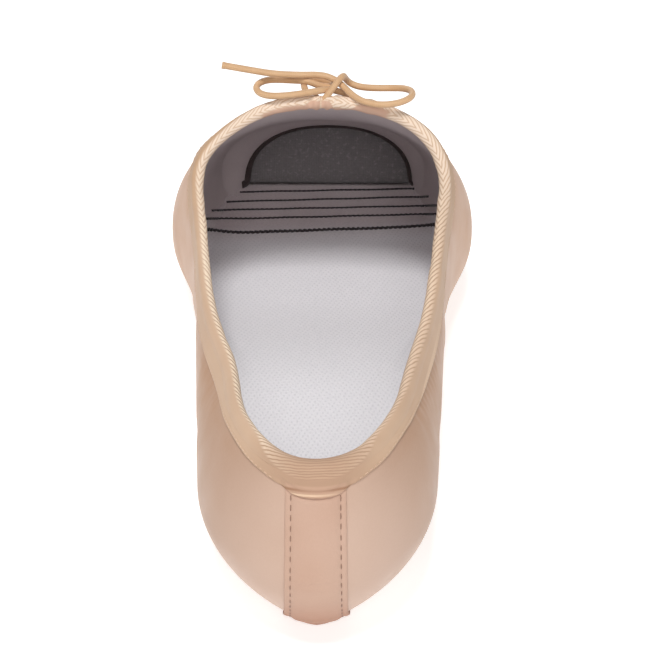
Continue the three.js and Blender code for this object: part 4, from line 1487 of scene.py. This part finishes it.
# ---------------------------------------------------------------- drawstring bow
CORD_D = 1.85
CORD_A = [  # out of the casing, up across the knot, right loop, back under, free end to the left
    (0.1, 31.0, 69.2), (1.2, 31.0, 71.0), (2.6, 31.6, 72.7), (3.9, 32.6, 74.2), (5.1, 34.1, 75.2), (6.0, 36.1, 75.0), (6.6, 38.2, 73.2),
    (7.8, 39.2, 71.5), (9.9, 38.9, 70.7), (12.4, 38.4, 70.5), (15.6, 38.1, 70.5), (19.4, 37.7, 70.7), (22.5, 36.4, 71.2), (24.5, 34.2, 71.5), (24.8, 31.6, 71.4), (23.4, 29.2, 71.2),
    (20.9, 28.1, 70.7), (17.5, 27.6, 70.4), (14.0, 27.8, 70.5), (11.1, 28.8, 70.9), (8.7, 30.6, 71.6), (7.0, 32.4, 72.4), (5.3, 34.3, 73.3), (3.2, 35.6, 74.3), (0.9, 36.1, 75.0),
    (-1.4, 36.1, 75.3), (-5.1, 35.6, 75.5), (-9.8, 35.2, 75.8), (-14.4, 35.0, 76.3), (-19.6, 34.8, 77.3), (-23.7, 34.7, 78.1), (-27.2, 34.6, 78.8),
]
CORD_B = [  # out of the casing, up behind, left loop, back through the knot, free end down the vamp
    (-3.3, 31.2, 69.4), (-3.8, 32.0, 71.1), (-4.6, 34.4, 71.9), (-4.9, 37.6, 72.0), (-3.8, 40.0, 72.0), (-1.4, 41.0, 71.8), (1.2, 40.4, 71.5), (2.9, 38.6, 71.4),
    (2.8, 36.6, 71.6), (1.0, 35.4, 72.1), (-1.2, 35.1, 72.8), (-3.8, 35.6, 73.6), (-7.1, 36.8, 73.3), (-10.4, 37.6, 73.1), (-13.2, 37.5, 73.2), (-15.6, 36.6, 73.3), (-17.4, 34.9, 73.1),
    (-17.9, 33.0, 72.6), (-16.9, 31.2, 72.1), (-14.8, 30.0, 71.9), (-11.6, 29.5, 72.0), (-7.2, 29.6, 72.4), (-2.9, 30.3, 72.8), (0.0, 31.9, 72.6), (2.4, 33.7, 72.0),
    (4.7, 34.9, 70.9), (6.4, 37.0, 69.4), (7.2, 40.2, 67.4), (6.6, 44.2, 64.4), (4.7, 48.4, 61.9), (2.0, 52.6, 59.4),
]


def build_cord(name, pts, nodes):
    p = catmull(pts, 8)
    for _ in range(6):
        p[1:-1] = 0.25 * p[:-2] + 0.5 * p[1:-1] + 0.25 * p[2:]
    s = np.linalg.norm(np.diff(p, axis=0), axis=1).sum()
    p, total = resample(p, int(s / 0.45))
    rad = np.full(len(p), CORD_D / 2)
    rad[-4:] *= np.array([1.0, 1.03, 1.08, 1.12])
    v, f, uv = tube(p, CORD_D / 2, 16, radii=rad)
    uv[:, 1] = np.tile(np.arange(16) / 4.0, len(p))
    ob = make_mesh(name, v, f, [CORD], uv=uv, worn=False)
    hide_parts(*nodes)
    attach(ob, "root")
    q = p.copy()
    q[:, 1] += SHIFT
    return ob, total


cord_a, len_a = build_cord("drawstring_a", CORD_A, ("bow_knot", "bow_loop_right", "bow_end_upper"))
cord_b, len_b = build_cord("drawstring_b", CORD_B, ("bow_loop_left", "bow_end_lower"))

# ---------------------------------------------------------------- floor, light, camera
scene = bpy.context.scene
scene.view_settings.view_transform = "Standard"
scene.view_settings.look = "None"


def floor_material():
    m = Nodes("floor_white")
    m.color((0.80, 0.80, 0.80, 1))
    m.set(Roughness=0.9)
    m.bsdf.inputs["Emission Color"].default_value = (1, 1, 1, 1)
    m.bsdf.inputs["Emission Strength"].default_value = 0.60
    return m.mat


me = bpy.data.meshes.new("floor")
me.from_pydata([(-4, -4, 0), (4, -4, 0), (4, 4, 0), (-4, 4, 0)], [], [(0, 1, 2, 3)])
me.materials.append(floor_material())
floor = bpy.data.objects.new("floor", me)
scene.collection.objects.link(floor)
floor.location = (0, 0, -0.0002)

world = bpy.data.worlds.new("studio")
scene.world = world
world.use_nodes = True
bg = world.node_tree.nodes["Background"]
bg.inputs[0].default_value = (1, 1, 1, 1)
bg.inputs[1].default_value = 0.13


def area(name, loc, target, size, power, color=(1, 1, 1)):
    d = bpy.data.lights.new(name, "AREA")
    d.shape = "RECTANGLE"
    d.size, d.size_y = size
    d.energy = power
    d.color = color
    o = bpy.data.objects.new(name, d)
    o.location = loc
    o.rotation_euler = (Vector(target) - Vector(loc)).to_track_quat("-Z", "Y").to_euler()
    scene.collection.objects.link(o)
    return o


area("key_top", (-0.06, -0.42, 1.14), (0, -0.02, 0.03), (0.28, 0.26), 8.2)
area("front_fill", (0.04, -1.06, 0.70), (0, 0.02, 0.03), (0.5, 0.4), 5.8)
area("toe_fill", (-0.28, 1.05, 0.78), (0, 0.05, 0.02), (0.8, 0.5), 4.6)

CAM = dict(Dc=491.0, H=313.0, f=2093.0, pitch=31.1, ox=-1.3, psi=0.42)


def camera():
    c, s = math.cos(math.radians(CAM["psi"])), math.sin(math.radians(CAM["psi"]))
    xr, yr = -CAM["ox"], -CAM["Dc"]
    loc = Vector((c * xr - s * yr, s * xr + c * yr + SHIFT, CAM["H"])) * MM
    p = math.radians(CAM["pitch"])
    d = Vector((-s * math.cos(p), c * math.cos(p), -math.sin(p)))
    cam = bpy.data.cameras.new("camera")
    cam.sensor_width = 36.0
    cam.sensor_fit = "HORIZONTAL"
    cam.lens = 36.0 * CAM["f"] / 651.0
    cam.clip_start, cam.clip_end = 0.01, 20
    o = bpy.data.objects.new("camera", cam)
    o.location = loc
    o.rotation_euler = d.to_track_quat("-Z", "Y").to_euler()
    scene.collection.objects.link(o)
    scene.camera = o


camera()

bpy.context.view_layer.update()
